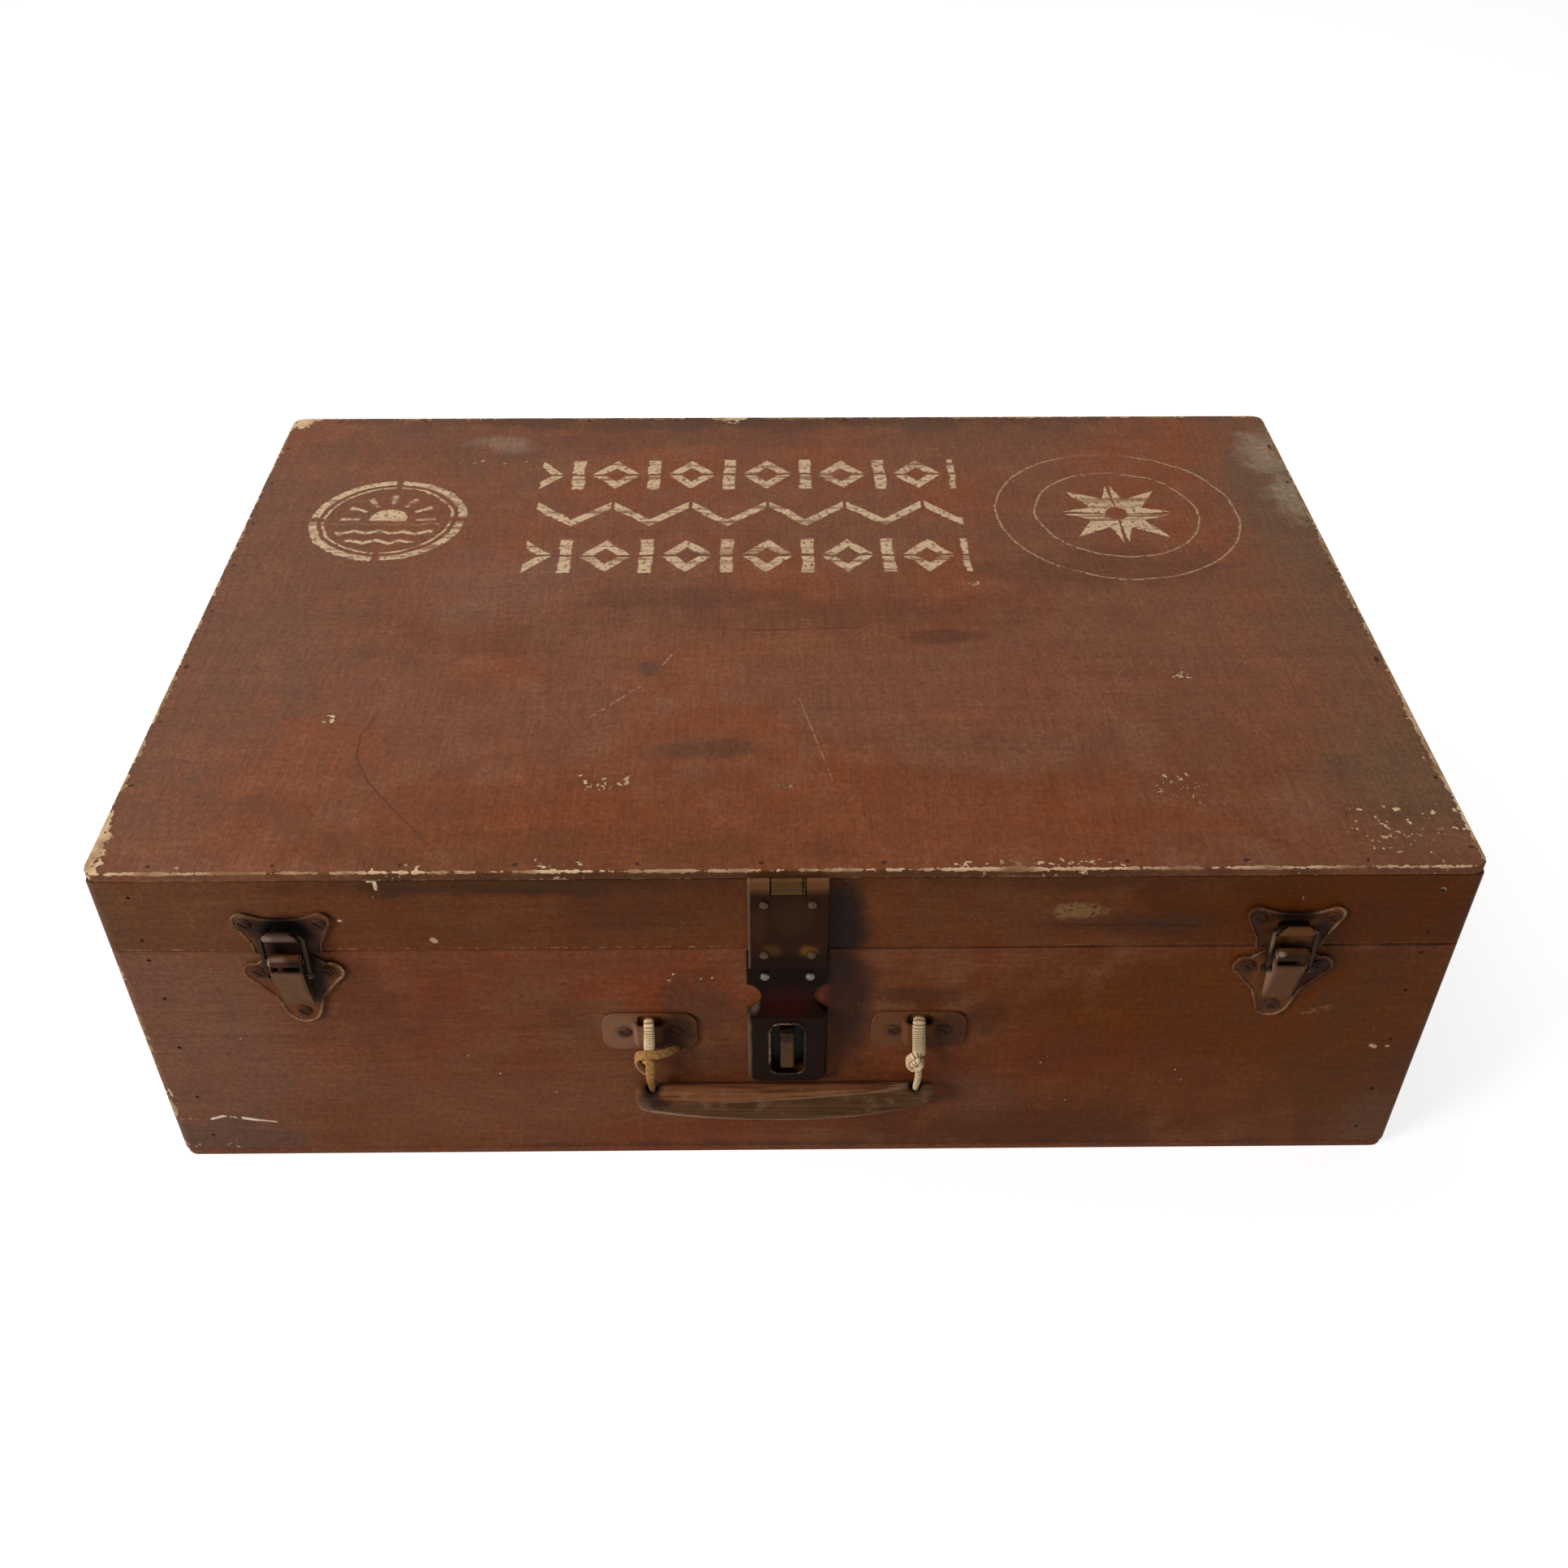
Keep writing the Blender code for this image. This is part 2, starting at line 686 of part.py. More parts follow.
def rear_hinges(shop, case):
    """Two butt hinges across the parting line on the back, with their pins and screws."""
    half = HINGE_WIDTH / 2
    third = HINGE_WIDTH / 6
    base_knuckles = ((-half, -third - SEAT / 2), (third + SEAT / 2, half))
    lid_knuckles = ((-third + SEAT / 2, third - SEAT / 2),)
    for name, side in (("left", -1), ("right", 1)):
        across = side * (HALF_WIDTH - HINGE_INSET)
        hinge_leaf(shop, f"{name}_hinge_base_leaf", across, -1, base_knuckles)
        hinge_leaf(shop, f"{name}_hinge_lid_leaf", across, 1, lid_knuckles)
        middle = Vector((across, HALF_DEPTH + HINGE_OFFSET, HINGE_Z))
        pin = rod("pin", KNUCKLE_RADIUS - KNUCKLE_WALL, middle, HINGE_WIDTH + 2 * SEAT, "X")
        shop.part(smooth(pin), f"{name}_hinge_pin", "dark_steel")
        case.holes["base_back"] += [pilot(place, OUTWARD) for place in hinge_screws(across, -1)]
        case.holes["lid_back"] += [pilot(place, OUTWARD) for place in hinge_screws(across, 1)]


def latch_outline():
    """The base plate's outline, from the top middle round the right ear to the foot."""
    ear = (LATCH_EAR_REACH, -LATCH_EAR_DROP)
    half = [(LATCH_SHOULDER, -LATCH_TOP_DROP)]
    half += arc(ear, LATCH_EAR_RADIUS, 105, -60, 7)
    half += [(LATCH_WAIST_HALF, -LATCH_WAIST_DROP)]
    half += arc((0, -LATCH_FOOT_DROP), LATCH_FOOT_RADIUS, -8, -90, 5)
    return mirrored(half)


def catch_outline():
    """The catch plate's outline, from the top middle round the right ear to the parting line."""
    ear = (CATCH_EAR_REACH, CATCH_EAR_RISE)
    half = [(0, CATCH_TOP_RISE), (CATCH_EAR_REACH / 2, CATCH_TOP_RISE + BEAD_RADIUS)]
    half += arc(ear, CATCH_EAR_RADIUS, 100, -30, 6)
    half += [(CATCH_WAIST_HALF + BEAD_RADIUS, CATCH_WAIST_RISE), (CATCH_WAIST_HALF, LID_GAP)]
    return mirrored(half)


def latch_plate(shop, name, across):
    """The base plate: pressed sheet with a beaded rim, and a rolled knuckle for the lever's pin."""
    outline = latch_outline()
    plate = front_plate(name, outline, across, SEAT, PLATE_TOP)
    bead = front_bead("bead", outline, across, PLATE_TOP - BEAD_LIFT, BEAD_RADIUS, True)
    pivot = front_place(across, PIVOT_STANDOFF, PIVOT_RISE)
    roll = rod("roll", ROLL_RADIUS, pivot, 2 * ROLL_HALF, "X")
    web_top = -LATCH_TOP_DROP
    web = [
        (SEAT, web_top - SHEET - SHEET),
        (PLATE_TOP, web_top - SHEET - SHEET),
        (PIVOT_STANDOFF, PIVOT_RISE - ROLL_RADIUS),
        (PIVOT_STANDOFF - SHEET, PIVOT_RISE - ROLL_RADIUS / 2),
        (PLATE_TOP, web_top),
        (SEAT, web_top),
    ]
    web = side_profile("web", web, across, ROLL_HALF)
    bore = rod("bore", PIVOT_PIN_RADIUS + SEAT, pivot, 2 * (ROLL_HALF + OVERRUN), "X")
    made = shop.shape(plate, [bore], [shop.bake(bead), roll, web])
    return shop.part(smooth(screwed(shop, made, latch_screws(across))), name, "painted_plate")


def latch_screws(across):
    """Where the base plate's three screw heads sit."""
    places = [front_place(across + side * LATCH_EAR_SCREW, PLATE_TOP, -LATCH_EAR_DROP) for side in (-1, 1)]
    return places + [front_place(across, PLATE_TOP, -LATCH_FOOT_SCREW_DROP)]


def catch_screws(across):
    """Where the catch plate's two screw heads sit."""
    return [front_place(across + side * CATCH_SCREW, PLATE_TOP, CATCH_SCREW_RISE) for side in (-1, 1)]


def hook_profile():
    """The hook's section in (stand-off, rise): out and up from the plate, then straight up."""
    thick = HOOK_SHEET
    return [
        (PLATE_TOP - SHEET, HOOK_ROOT_RISE - thick),
        (PLATE_TOP, HOOK_ROOT_RISE - thick),
        (HOOK_BEND_STANDOFF, HOOK_BEND_RISE - thick - thick),
        (HOOK_LIP_STANDOFF + thick / 2, HOOK_BEND_RISE),
        (HOOK_LIP_STANDOFF + thick / 2, HOOK_LIP_RISE),
        (HOOK_LIP_STANDOFF - thick / 2, HOOK_LIP_RISE),
        (HOOK_LIP_STANDOFF - thick / 2, HOOK_BEND_RISE),
        (HOOK_BEND_STANDOFF - thick, HOOK_BEND_RISE - thick),
        (PLATE_TOP, HOOK_ROOT_RISE + thick / 2),
        (PLATE_TOP - SHEET, HOOK_ROOT_RISE + thick / 2),
    ]


def catch_plate(shop, name, across):
    """The catch plate: pressed sheet with a beaded rim and a hook cut and bent from its middle."""
    outline = catch_outline()
    plate = front_plate(name, outline, across, SEAT, PLATE_TOP)
    rim = outline[-1:] + outline[:-1]
    split = [n for n, (x, z) in enumerate(rim) if z <= LID_GAP]
    rim = rim[max(split):] + rim[:min(split) + 1]
    rim = [(x, z + (BEAD_RADIUS if z <= LID_GAP else 0)) for x, z in rim]
    bead = front_bead("bead", rim, across, PLATE_TOP - BEAD_LIFT, BEAD_RADIUS)
    window = front_plate(
        "window",
        rounded(-HOOK_HALF, HOOK_HALF, HOOK_ROOT_RISE, HOOK_WINDOW_RISE, (0, HOOK_CORNER, HOOK_CORNER, 0)),
        across,
        -OVERRUN,
        PLATE_TOP + OVERRUN,
    )
    plate = shop.shape(plate, [window], [shop.bake(bead)])
    hook = side_profile("hook", hook_profile(), across, HOOK_HALF - SEAT)
    trimmed = [
        (-HOOK_HALF, HOOK_ROOT_RISE - OVERRUN),
        (HOOK_HALF, HOOK_ROOT_RISE - OVERRUN),
        (HOOK_HALF, HOOK_LIP_RISE - HOOK_CORNER),
        (HOOK_HALF - HOOK_CORNER, HOOK_LIP_RISE),
        (HOOK_CORNER - HOOK_HALF, HOOK_LIP_RISE),
        (-HOOK_HALF, HOOK_LIP_RISE - HOOK_CORNER),
    ]
    keep = front_plate("hook_keep", trimmed, across, -OVERRUN, HOOK_LIP_STANDOFF + OVERRUN)
    shop.combine(hook, keep, "INTERSECT")
    hook = shop.bake(hook)
    made = screwed(shop, shop.shape(plate, joins=[hook]), catch_screws(across))
    return shop.part(smooth(made), name, "painted_plate", LID_PIVOT)


def taper_lever(thing, across):
    """Narrow the lever evenly from its pivot to its tip."""
    top = SPLIT_Z + PIVOT_RISE
    for vert in thing.data.vertices:
        share = 1 - (1 - LEVER_TIP_SHARE) * max(0, top - vert.co.z) / LEVER_LENGTH
        vert.co.x = across + (vert.co.x - across) * share
    return thing


def lever(shop, name, across):
    """The latch's lever: a tapered channel whose cheeks reach up round the pivot pin."""
    pivot = (PIVOT_STANDOFF, PIVOT_RISE)
    face_top = PIVOT_RISE - LEVER_FACE_TOP_DROP
    tip = PIVOT_RISE - LEVER_LENGTH
    outer = [(LEVER_BACK_STANDOFF, tip), (LEVER_TIP_STANDOFF, tip), (LEVER_TOP_STANDOFF, face_top)]
    outer += arc(pivot, CHEEK_RADIUS, 0, 180, 8)
    outer += [(LEVER_BACK_STANDOFF, PIVOT_RISE - LEVER_LENGTH / 2)]
    body = taper_lever(side_profile(name, outer, across, LEVER_HALF), across)
    slope = (LEVER_TOP_STANDOFF - LEVER_TIP_STANDOFF) / (face_top - tip)
    low = tip - OVERRUN
    inner = [
        (-OVERRUN, low),
        (LEVER_TIP_STANDOFF - LEVER_FACE_SHEET - slope * OVERRUN, low),
        (LEVER_TOP_STANDOFF - LEVER_FACE_SHEET, face_top),
        (LEVER_TOP_STANDOFF + OVERRUN, face_top),
        (LEVER_TOP_STANDOFF + OVERRUN, PIVOT_RISE + CHEEK_RADIUS + OVERRUN),
        (-OVERRUN, PIVOT_RISE + CHEEK_RADIUS + OVERRUN),
    ]
    hollow = taper_lever(side_profile("hollow", inner, across, LEVER_HALF - LEVER_SHEET), across)
    reach = 2 * (LEVER_HALF + OVERRUN)
    pin = rod("pin_hole", PIVOT_PIN_RADIUS + SEAT, front_place(across, *pivot), reach, "X", SCREW_SIDES)
    loop = rod("loop_hole", LOOP_PIN_RADIUS + SEAT, loop_pivot(across), reach, "X", SCREW_SIDES)
    made = shop.shape(body, [hollow, pin, loop])
    return shop.part(smooth(made), name, "painted_plate", front_place(across, *pivot))


def loop_pivot(across):
    """Where the loop turns on the lever."""
    return front_place(across, PIVOT_STANDOFF, PIVOT_RISE - LOOP_THROW)


def headed_pin(shop, name, middle, radius, half, head, head_radius):
    """A plain pin along X with a flat head at each end."""
    shank = rod(name, radius, middle, 2 * half + head, "X", SCREW_SIDES)
    joins = []
    for side in (-1, 1):
        centre = middle + Vector((side * (half + head / 2), 0, 0))
        joins.append(rod("head", head_radius, centre, head, "X", SCREW_SIDES))
    return shop.part(smooth(shop.shape(shank, joins=joins)), name, "dark_steel", middle)


def loop(shop, name, across):
    """The loop: a bent strip with chamfered shoulders and an eye at each leg's foot."""
    top = LOOP_LENGTH + LOOP_THICKNESS / 2
    outer = [
        (LOOP_HALF, 0),
        (LOOP_HALF, top - LOOP_CHAMFER),
        (LOOP_HALF - LOOP_CHAMFER, top),
        (LOOP_CHAMFER - LOOP_HALF, top),
        (-LOOP_HALF, top - LOOP_CHAMFER),
        (-LOOP_HALF, 0),
    ]
    inner_half = LOOP_HALF - LOOP_THICKNESS
    inner_top = top - LOOP_THICKNESS
    corner = LOOP_CHAMFER - LOOP_THICKNESS * (2 - math.sqrt(2))
    inner = [
        (inner_half, -OVERRUN),
        (inner_half, inner_top - corner),
        (inner_half - corner, inner_top),
        (corner - inner_half, inner_top),
        (-inner_half, inner_top - corner),
        (-inner_half, -OVERRUN),
    ]
    half = LOOP_STRIP / 2
    body = prism(name, outer, -half, half, "Y")
    gap = prism("gap", inner, -half - OVERRUN, half + OVERRUN, "Y")
    eyes = []
    for side in (-1, 1):
        centre = (side * (LOOP_HALF - LOOP_THICKNESS / 2), 0, 0)
        eyes.append(rod("eye", LOOP_EYE_RADIUS, centre, LOOP_THICKNESS, "X", SCREW_SIDES))
    hole = rod("eye_hole", LOOP_PIN_RADIUS + SEAT, (0, 0, 0), 2 * (LOOP_HALF + OVERRUN), "X", SCREW_SIDES)
    body = shop.shape(body, [gap])
    body = shop.shape(body, [hole], eyes)
    body.location = loop_pivot(across)
    body.rotation_euler.x = -BAR_TILT
    return shop.part(body, name, "dark_steel")


def draw_latch(shop, case, name, across):
    """One latch: its two plates, lever, loop and pins."""
    latch_plate(shop, f"{name}_latch_plate", across)
    catch_plate(shop, f"{name}_catch_plate", across)
    lever(shop, f"{name}_lever", across)
    loop(shop, f"{name}_loop", across)
    pivot = front_place(across, PIVOT_STANDOFF, PIVOT_RISE)
    half = LEVER_HALF + SEAT
    head = LOOP_HALF - LOOP_THICKNESS - SEAT - half
    headed_pin(shop, f"{name}_latch_pin", pivot, PIVOT_PIN_RADIUS, half, head, PIVOT_HEAD_RADIUS)
    pivot = loop_pivot(across)
    half = LOOP_HALF + SEAT
    headed_pin(shop, f"{name}_loop_pin", pivot, LOOP_PIN_RADIUS, half, LOOP_PIN_HEAD, LOOP_PIN_HEAD_RADIUS)
    case.holes["base_front"] += [pilot(place, INWARD) for place in latch_screws(across)]
    case.holes["lid_front"] += [pilot(place, INWARD) for place in catch_screws(across)]


def hasp_axis():
    """The middle of the hasp's pin."""
    return front_place(0, HASP_STANDOFF + HASP_SHEET / 2, HASP_PIN_RISE)


def hasp_leaf_screw_places():
    """Where the hasp leaf's flat screw heads sit."""
    places = []
    for rise in (HASP_LEAF_LOWER_SCREW_RISE, HASP_LEAF_UPPER_SCREW_RISE):
        for side in (-1, 1):
            places.append(front_place(side * HASP_LEAF_SCREW_HALF, PLATE_TOP, rise))
    return places


def flat_screw(shop, place, head):
    """A flat-headed screw driven inward through a hidden plate."""
    profile = [
        (0, -head),
        (SCREW_HEAD_RADIUS, -head),
        (SCREW_HEAD_RADIUS, SHEET / 2),
        (SCREW_SHANK_RADIUS, SHEET / 2),
        (SCREW_SHANK_RADIUS, SCREW_LENGTH),
        (0, SCREW_LENGTH),
    ]
    return solid_copy(shop, turned("fastener", profile, place, INWARD, SCREW_SIDES))


def domed(shop, place, head_radius, head, shank_radius, length):
    """A dome-headed fastener driven inward."""
    turns = [math.radians(degrees) for degrees in (0, 30, 60, 90)]
    dome = [(head_radius * math.sin(turn), -head * math.cos(turn)) for turn in turns]
    profile = dome + [(shank_radius, 0), (shank_radius, length), (0, length)]
    return solid_copy(shop, turned("fastener", profile, place, INWARD, SCREW_SIDES))


def hasp_leaf(shop, case):
    """The leaf on the lid behind the hasp: it wraps the pin and its tongue comes down in front."""
    axis = hasp_axis()
    leaf_top = HASP_PIN_RISE - HASP_BARREL_RADIUS - SEAT
    outline = rounded(-HASP_LEAF_HALF, HASP_LEAF_HALF, HASP_LEAF_RISE, leaf_top, (0,) * 4)
    leaf = front_plate("hasp_lid_leaf", outline, 0, SEAT, PLATE_TOP)
    half = HASP_TONGUE_HALF
    neck = front_plate(
        "neck",
        rounded(-half, half, HASP_PIN_RISE - 2 * HASP_BARREL_RADIUS, HASP_PIN_RISE, (0,) * 4),
        0,
        SEAT,
        PLATE_TOP,
    )
    barrel = rod("barrel", HASP_BARREL_RADIUS, axis, 2 * half, "X")
    tongue_top = HASP_PIN_RISE - HASP_PIN_RADIUS - HASP_SHEET / 2
    outline = rounded(-half, half, HASP_PIN_RISE - HASP_TONGUE_LENGTH, tongue_top, (0,) * 4)
    tongue = front_plate("tongue", outline, 0, HASP_STANDOFF, HASP_STANDOFF + HASP_SHEET)
    bore = rod("bore", HASP_PIN_RADIUS + SEAT, axis, 2 * (half + OVERRUN), "X")
    places = hasp_leaf_screw_places()
    screws = [flat_screw(shop, place, HASP_LEAF_SCREW_HEAD) for place in places]
    made = shop.shape(leaf, [bore], [neck, barrel, tongue] + screws)
    shop.part(smooth(made), "hasp_lid_leaf", "brass", LID_PIVOT)
    case.holes["lid_front"] += [pilot(place, INWARD) for place in places]


def rivet_places():
    """Where the hasp's four rivets sit, at its front face."""
    places = []
    for rise in (LOWER_RIVET_RISE, UPPER_RIVET_RISE):
        for side in (-1, 1):
            places.append(front_place(side * RIVET_HALF, HASP_STANDOFF + HASP_SHEET + SEAT, rise))
    return places


def hasp_plate(shop):
    """The hasp's plate, notched round the leaf's tongue, with a knuckle at each side."""
    axis = hasp_axis()
    notch_half = HASP_TONGUE_HALF + HASP_TONGUE_GAP
    notch_floor = HASP_PIN_RISE - HASP_TONGUE_LENGTH - HASP_TONGUE_GAP
    outline = [
        (HASP_HALF, HASP_PIN_RISE),
        (HASP_HALF, -HASP_END_DROP),
        (-HASP_HALF, -HASP_END_DROP),
        (-HASP_HALF, HASP_PIN_RISE),
        (-notch_half, HASP_PIN_RISE),
        (-notch_half, notch_floor),
        (notch_half, notch_floor),
        (notch_half, HASP_PIN_RISE),
    ]
    plate = front_plate("hasp_plate", outline, 0, HASP_STANDOFF, HASP_STANDOFF + HASP_SHEET)
    joins = []
    for side in (-1, 1):
        middle = axis + Vector((side * (HASP_HALF + notch_half) / 2, 0, 0))
        joins.append(rod("knuckle", HASP_BARREL_RADIUS, middle, HASP_HALF - notch_half, "X"))
    bore = rod("bore", HASP_PIN_RADIUS + SEAT, axis, 2 * (HASP_HALF + OVERRUN), "X")
    made = shop.shape(plate, [bore] + [rivet_hole(place) for place in rivet_places()], joins)
    return shop.part(smooth(made), "hasp_plate", "dark_steel", axis)


def rivet_hole(place):
    """The cutter for a rivet's hole, through the hasp and what is behind it."""
    return rod("rivet_hole", RIVET_SHANK_RADIUS + SEAT, place, 4 * HASP_STANDOFF, "Y", SCREW_SIDES)


def hasp_rivets(shop):
    """Four domed rivets; the lower two also hold the staple's flange."""
    names = ("lower_left", "lower_right", "upper_left", "upper_right")
    for name, place in zip(names, rivet_places()):
        reach = HASP_SHEET + SEAT + (STAPLE_FLANGE_SHEET if name.startswith("lower") else 0)
        rivet = domed(shop, place, RIVET_HEAD_RADIUS, RIVET_HEAD_HEIGHT, RIVET_SHANK_RADIUS, reach)
        shop.part(smooth(rivet), f"hasp_{name}_rivet", "dark_steel", hasp_axis())


def hasp_staple(shop):
    """The staple behind the hasp: a riveted flange with a wire bow that enters the lock."""
    front = HASP_STANDOFF - SEAT
    back = front - STAPLE_FLANGE_SHEET
    half = STAPLE_FLANGE_HALF
    outline = rounded(-half, half, SEAT - HASP_END_DROP, STAPLE_FLANGE_TOP, (0,) * 4)
    flange = front_plate("hasp_staple", outline, 0, back, front)
    inside = back + STAPLE_FLANGE_SHEET / 2
    reach, deep = STAPLE_HALF - STAPLE_BEND, STAPLE_BEND - STAPLE_DEPTH
    path = [(STAPLE_HALF, inside)]
    path += arc((reach, deep), STAPLE_BEND, 0, -90, 4)
    path += arc((-reach, deep), STAPLE_BEND, -90, -180, 4)
    path += [(-STAPLE_HALF, inside)]
    bow = shop.bake(tube("bow", [front_place(x, s, -STAPLE_DROP) for x, s in path], STAPLE_WIRE_RADIUS))
    holes = [rivet_hole(place) for place in rivet_places() if place.z < SPLIT_Z + STAPLE_FLANGE_TOP]
    made = shop.shape(flange, holes, [bow])
    return shop.part(smooth(made), "hasp_staple", "dark_steel", hasp_axis())


def hasp(shop, case):
    """The hasp with its leaf, pin, rivets and staple."""
    hasp_leaf(shop, case)
    hasp_plate(shop)
    hasp_rivets(shop)
    hasp_staple(shop)
    pin = rod("pin", HASP_PIN_RADIUS, hasp_axis(), 2 * HASP_HALF, "X", SCREW_SIDES)
    shop.part(smooth(pin), "hasp_pin", "brass")


def staple_slot(back, front):
    """The slot that the staple's bow passes, as a cutter between two stand-offs."""
    half = STAPLE_HALF + STAPLE_WIRE_RADIUS + STAPLE_SLOT_MARGIN
    reach = STAPLE_WIRE_RADIUS + STAPLE_SLOT_MARGIN
    outline = rounded(-half, half, -STAPLE_DROP - reach, -STAPLE_DROP + reach, (0,) * 4)
    return front_plate("staple_slot", outline, 0, back, front)


def lock_nail_places():
    """Where the lock's two dome-headed nails sit."""
    return [front_place(side * LOCK_NAIL_HALF, PLATE_TOP + SEAT, -LOCK_NAIL_DROP) for side in (-1, 1)]


def lock_box(shop, low, high):
    """The raised lower part of the lock's case, whose upper end slopes down to the flat plate."""
    half, start = LOCK_HALF, high + LOCK_RAMP
    outline = rounded(-half, half, low, start, (LOCK_CORNER, 0, 0, LOCK_CORNER))
    made = shop.bake(soften(front_plate("box", outline, 0, SEAT, LOCK_STANDOFF), LOCK_EDGE))
    inner, outer, beyond = PLATE_TOP / 2, LOCK_STANDOFF + OVERRUN, start + OVERRUN
    slope = [(inner, start), (LOCK_STANDOFF, high), (outer, high), (outer, beyond), (inner, beyond)]
    return shop.shape(made, [side_profile("slope", slope, 0, half + OVERRUN)])


def lock_case(shop, case):
    """The lock's case: a flat upper plate and a raised box below, notched at both sides."""
    half = LOCK_HALF
    low, high = -LOCK_BOTTOM_DROP, -LOCK_BOX_TOP_DROP
    plate = rounded(-half, half, high - LOCK_CORNER, -LOCK_TOP_DROP, (0,) * 4)
    plate = front_plate("lock_case", plate, 0, SEAT, PLATE_TOP)
    outer = lock_box(shop, low, high)
    wall = LOCK_SHEET + SEAT
    corner = LOCK_CORNER - wall
    inside = rounded(wall - half, half - wall, low + wall, high - wall, (corner, 0, 0, corner))
    cavity = front_plate("cavity", inside, 0, -OVERRUN, LOCK_STANDOFF - LOCK_SHEET)
    corners = (WINDOW_CORNER,) * 4
    opening = rounded(-WINDOW_HALF, WINDOW_HALF, -WINDOW_BOTTOM_DROP, -WINDOW_TOP_DROP, corners, 4)
    window = front_plate("window", opening, 0, OVERRUN, LOCK_STANDOFF + OVERRUN)
    bead = front_bead("bead", opening, 0, LOCK_STANDOFF, WINDOW_BEAD, True)
    notches = []
    for side in (-1, 1):
        reach = half + LOCK_NOTCH_RADIUS - LOCK_NOTCH_DEPTH
        middle = front_place(side * reach, 0, -LOCK_NOTCH_DROP)
        notches.append(rod("notch", LOCK_NOTCH_RADIUS, middle, 4 * LOCK_STANDOFF, "Y", NOTCH_SIDES))
    holes = [
        rod("nail_hole", SCREW_SHANK_RADIUS + SEAT, place, 4 * PLATE_TOP, "Y", SCREW_SIDES)
        for place in lock_nail_places()
    ]
    made = shop.shape(plate, joins=[outer])
    made = shop.shape(made, [cavity, window])
    made = shop.shape(made, joins=[shop.bake(bead)])
    made = shop.shape(made, notches + holes + [staple_slot(-OVERRUN, HASP_STANDOFF)])
    shop.part(smooth(made), "lock_case", "dark_steel")
    head, tall = LOCK_NAIL_HEAD_RADIUS, LOCK_NAIL_HEAD_HEIGHT
    for name, place in zip(("left", "right"), lock_nail_places()):
        nail = domed(shop, place, head, tall, SCREW_SHANK_RADIUS, SCREW_LENGTH)
        shop.part(smooth(nail), f"lock_{name}_nail", "steel")
        case.holes["base_front"].append(pilot(place, INWARD))
    case.holes["base_front"].append(lock_pocket(shop))


def lock_pocket(shop):
    """The recess that the bolt, the spring and the staple need in the front board."""
    room = POCKET_CLEARANCE
    low = -BOLT_FOOT_DROP - SPRING_LENGTH - SEAT
    slide_half = BOLT_HALF + room
    slide_low = -BOLT_FOOT_DROP - BOLT_TRAVEL - room
    slide = rounded(-slide_half, slide_half, slide_low, -STAPLE_DROP, (0,) * 4)
    slide = front_plate("pocket", slide, 0, -BOLT_SHEET - room, OVERRUN)
    foot_half = BOLT_FOOT_HALF + room
    foot_top = -BOLT_FOOT_DROP + BOLT_FOOT_SHEET + room
    foot = rounded(-foot_half, foot_half, low, foot_top, (0,) * 4)
    foot = front_plate("foot_pocket", foot, 0, -BOLT_FOOT_DEPTH - room, OVERRUN)
    deep = STAPLE_DEPTH + STAPLE_WIRE_RADIUS + room
    staple = staple_slot(-deep, OVERRUN)
    return shop.shape(slide, joins=[foot, staple])


def bolt(shop):
    """The bolt: a strip with a nose that stands in the staple, and a foot for the spring."""
    outline = [
        (BOLT_HALF, -BOLT_SHOULDER_DROP),
        (BOLT_HALF, -BOLT_FOOT_DROP),
        (-BOLT_HALF, -BOLT_FOOT_DROP),
        (-BOLT_HALF, -BOLT_SHOULDER_DROP),
        (-BOLT_NOSE_HALF, -BOLT_SHOULDER_DROP),
        (-BOLT_NOSE_HALF, -BOLT_NOSE_DROP),
        (BOLT_NOSE_HALF, -BOLT_NOSE_DROP),
        (BOLT_NOSE_HALF, -BOLT_SHOULDER_DROP),
    ]
    strip = front_plate("lock_bolt", outline, 0, -BOLT_SHEET, 0)
    half, low = BOLT_FOOT_HALF, -BOLT_FOOT_DROP
    foot = rounded(-half, half, low, low + BOLT_FOOT_SHEET, (0,) * 4)
    foot = front_plate("foot", foot, 0, -BOLT_FOOT_DEPTH, -BOLT_SHEET / 2)
    return shop.part(shop.shape(strip, joins=[foot]), "lock_bolt", "steel")


def thumb_slide(shop):
    """The thumb slide: a guard plate behind the window, and a bar with a small knob to push."""
    high = -WINDOW_TOP_DROP + THUMB_GUARD_MARGIN
    low = -WINDOW_BOTTOM_DROP + BOLT_TRAVEL - THUMB_GUARD_MARGIN
    outline = rounded(-THUMB_GUARD_HALF, THUMB_GUARD_HALF, low, high, (0,) * 4)
    guard = front_plate("lock_thumb_slide", outline, 0, SEAT, SEAT + THUMB_GUARD_SHEET)
    bar_outline = rounded(-THUMB_HALF, THUMB_HALF, -THUMB_BOTTOM_DROP, -THUMB_TOP_DROP, (0,) * 4)
    bar = shop.bake(soften(front_plate("bar", bar_outline, 0, SEAT, THUMB_STANDOFF), THUMB_EDGE))
    deep = THUMB_STANDOFF + THUMB_KNOB_LIFT - THUMB_KNOB_RADIUS
    middle = front_place(0, deep, -THUMB_TOP_DROP - THUMB_KNOB_RADIUS)
    knob = bmesh.new()
    bmesh.ops.create_uvsphere(knob, u_segments=12, v_segments=8, radius=THUMB_KNOB_RADIUS)
    bmesh.ops.translate(knob, vec=middle, verts=knob.verts)
    made = shop.shape(guard, joins=[bar, mesh_object("knob", knob)])
    return shop.part(smooth(made), "lock_thumb_slide", "brass")


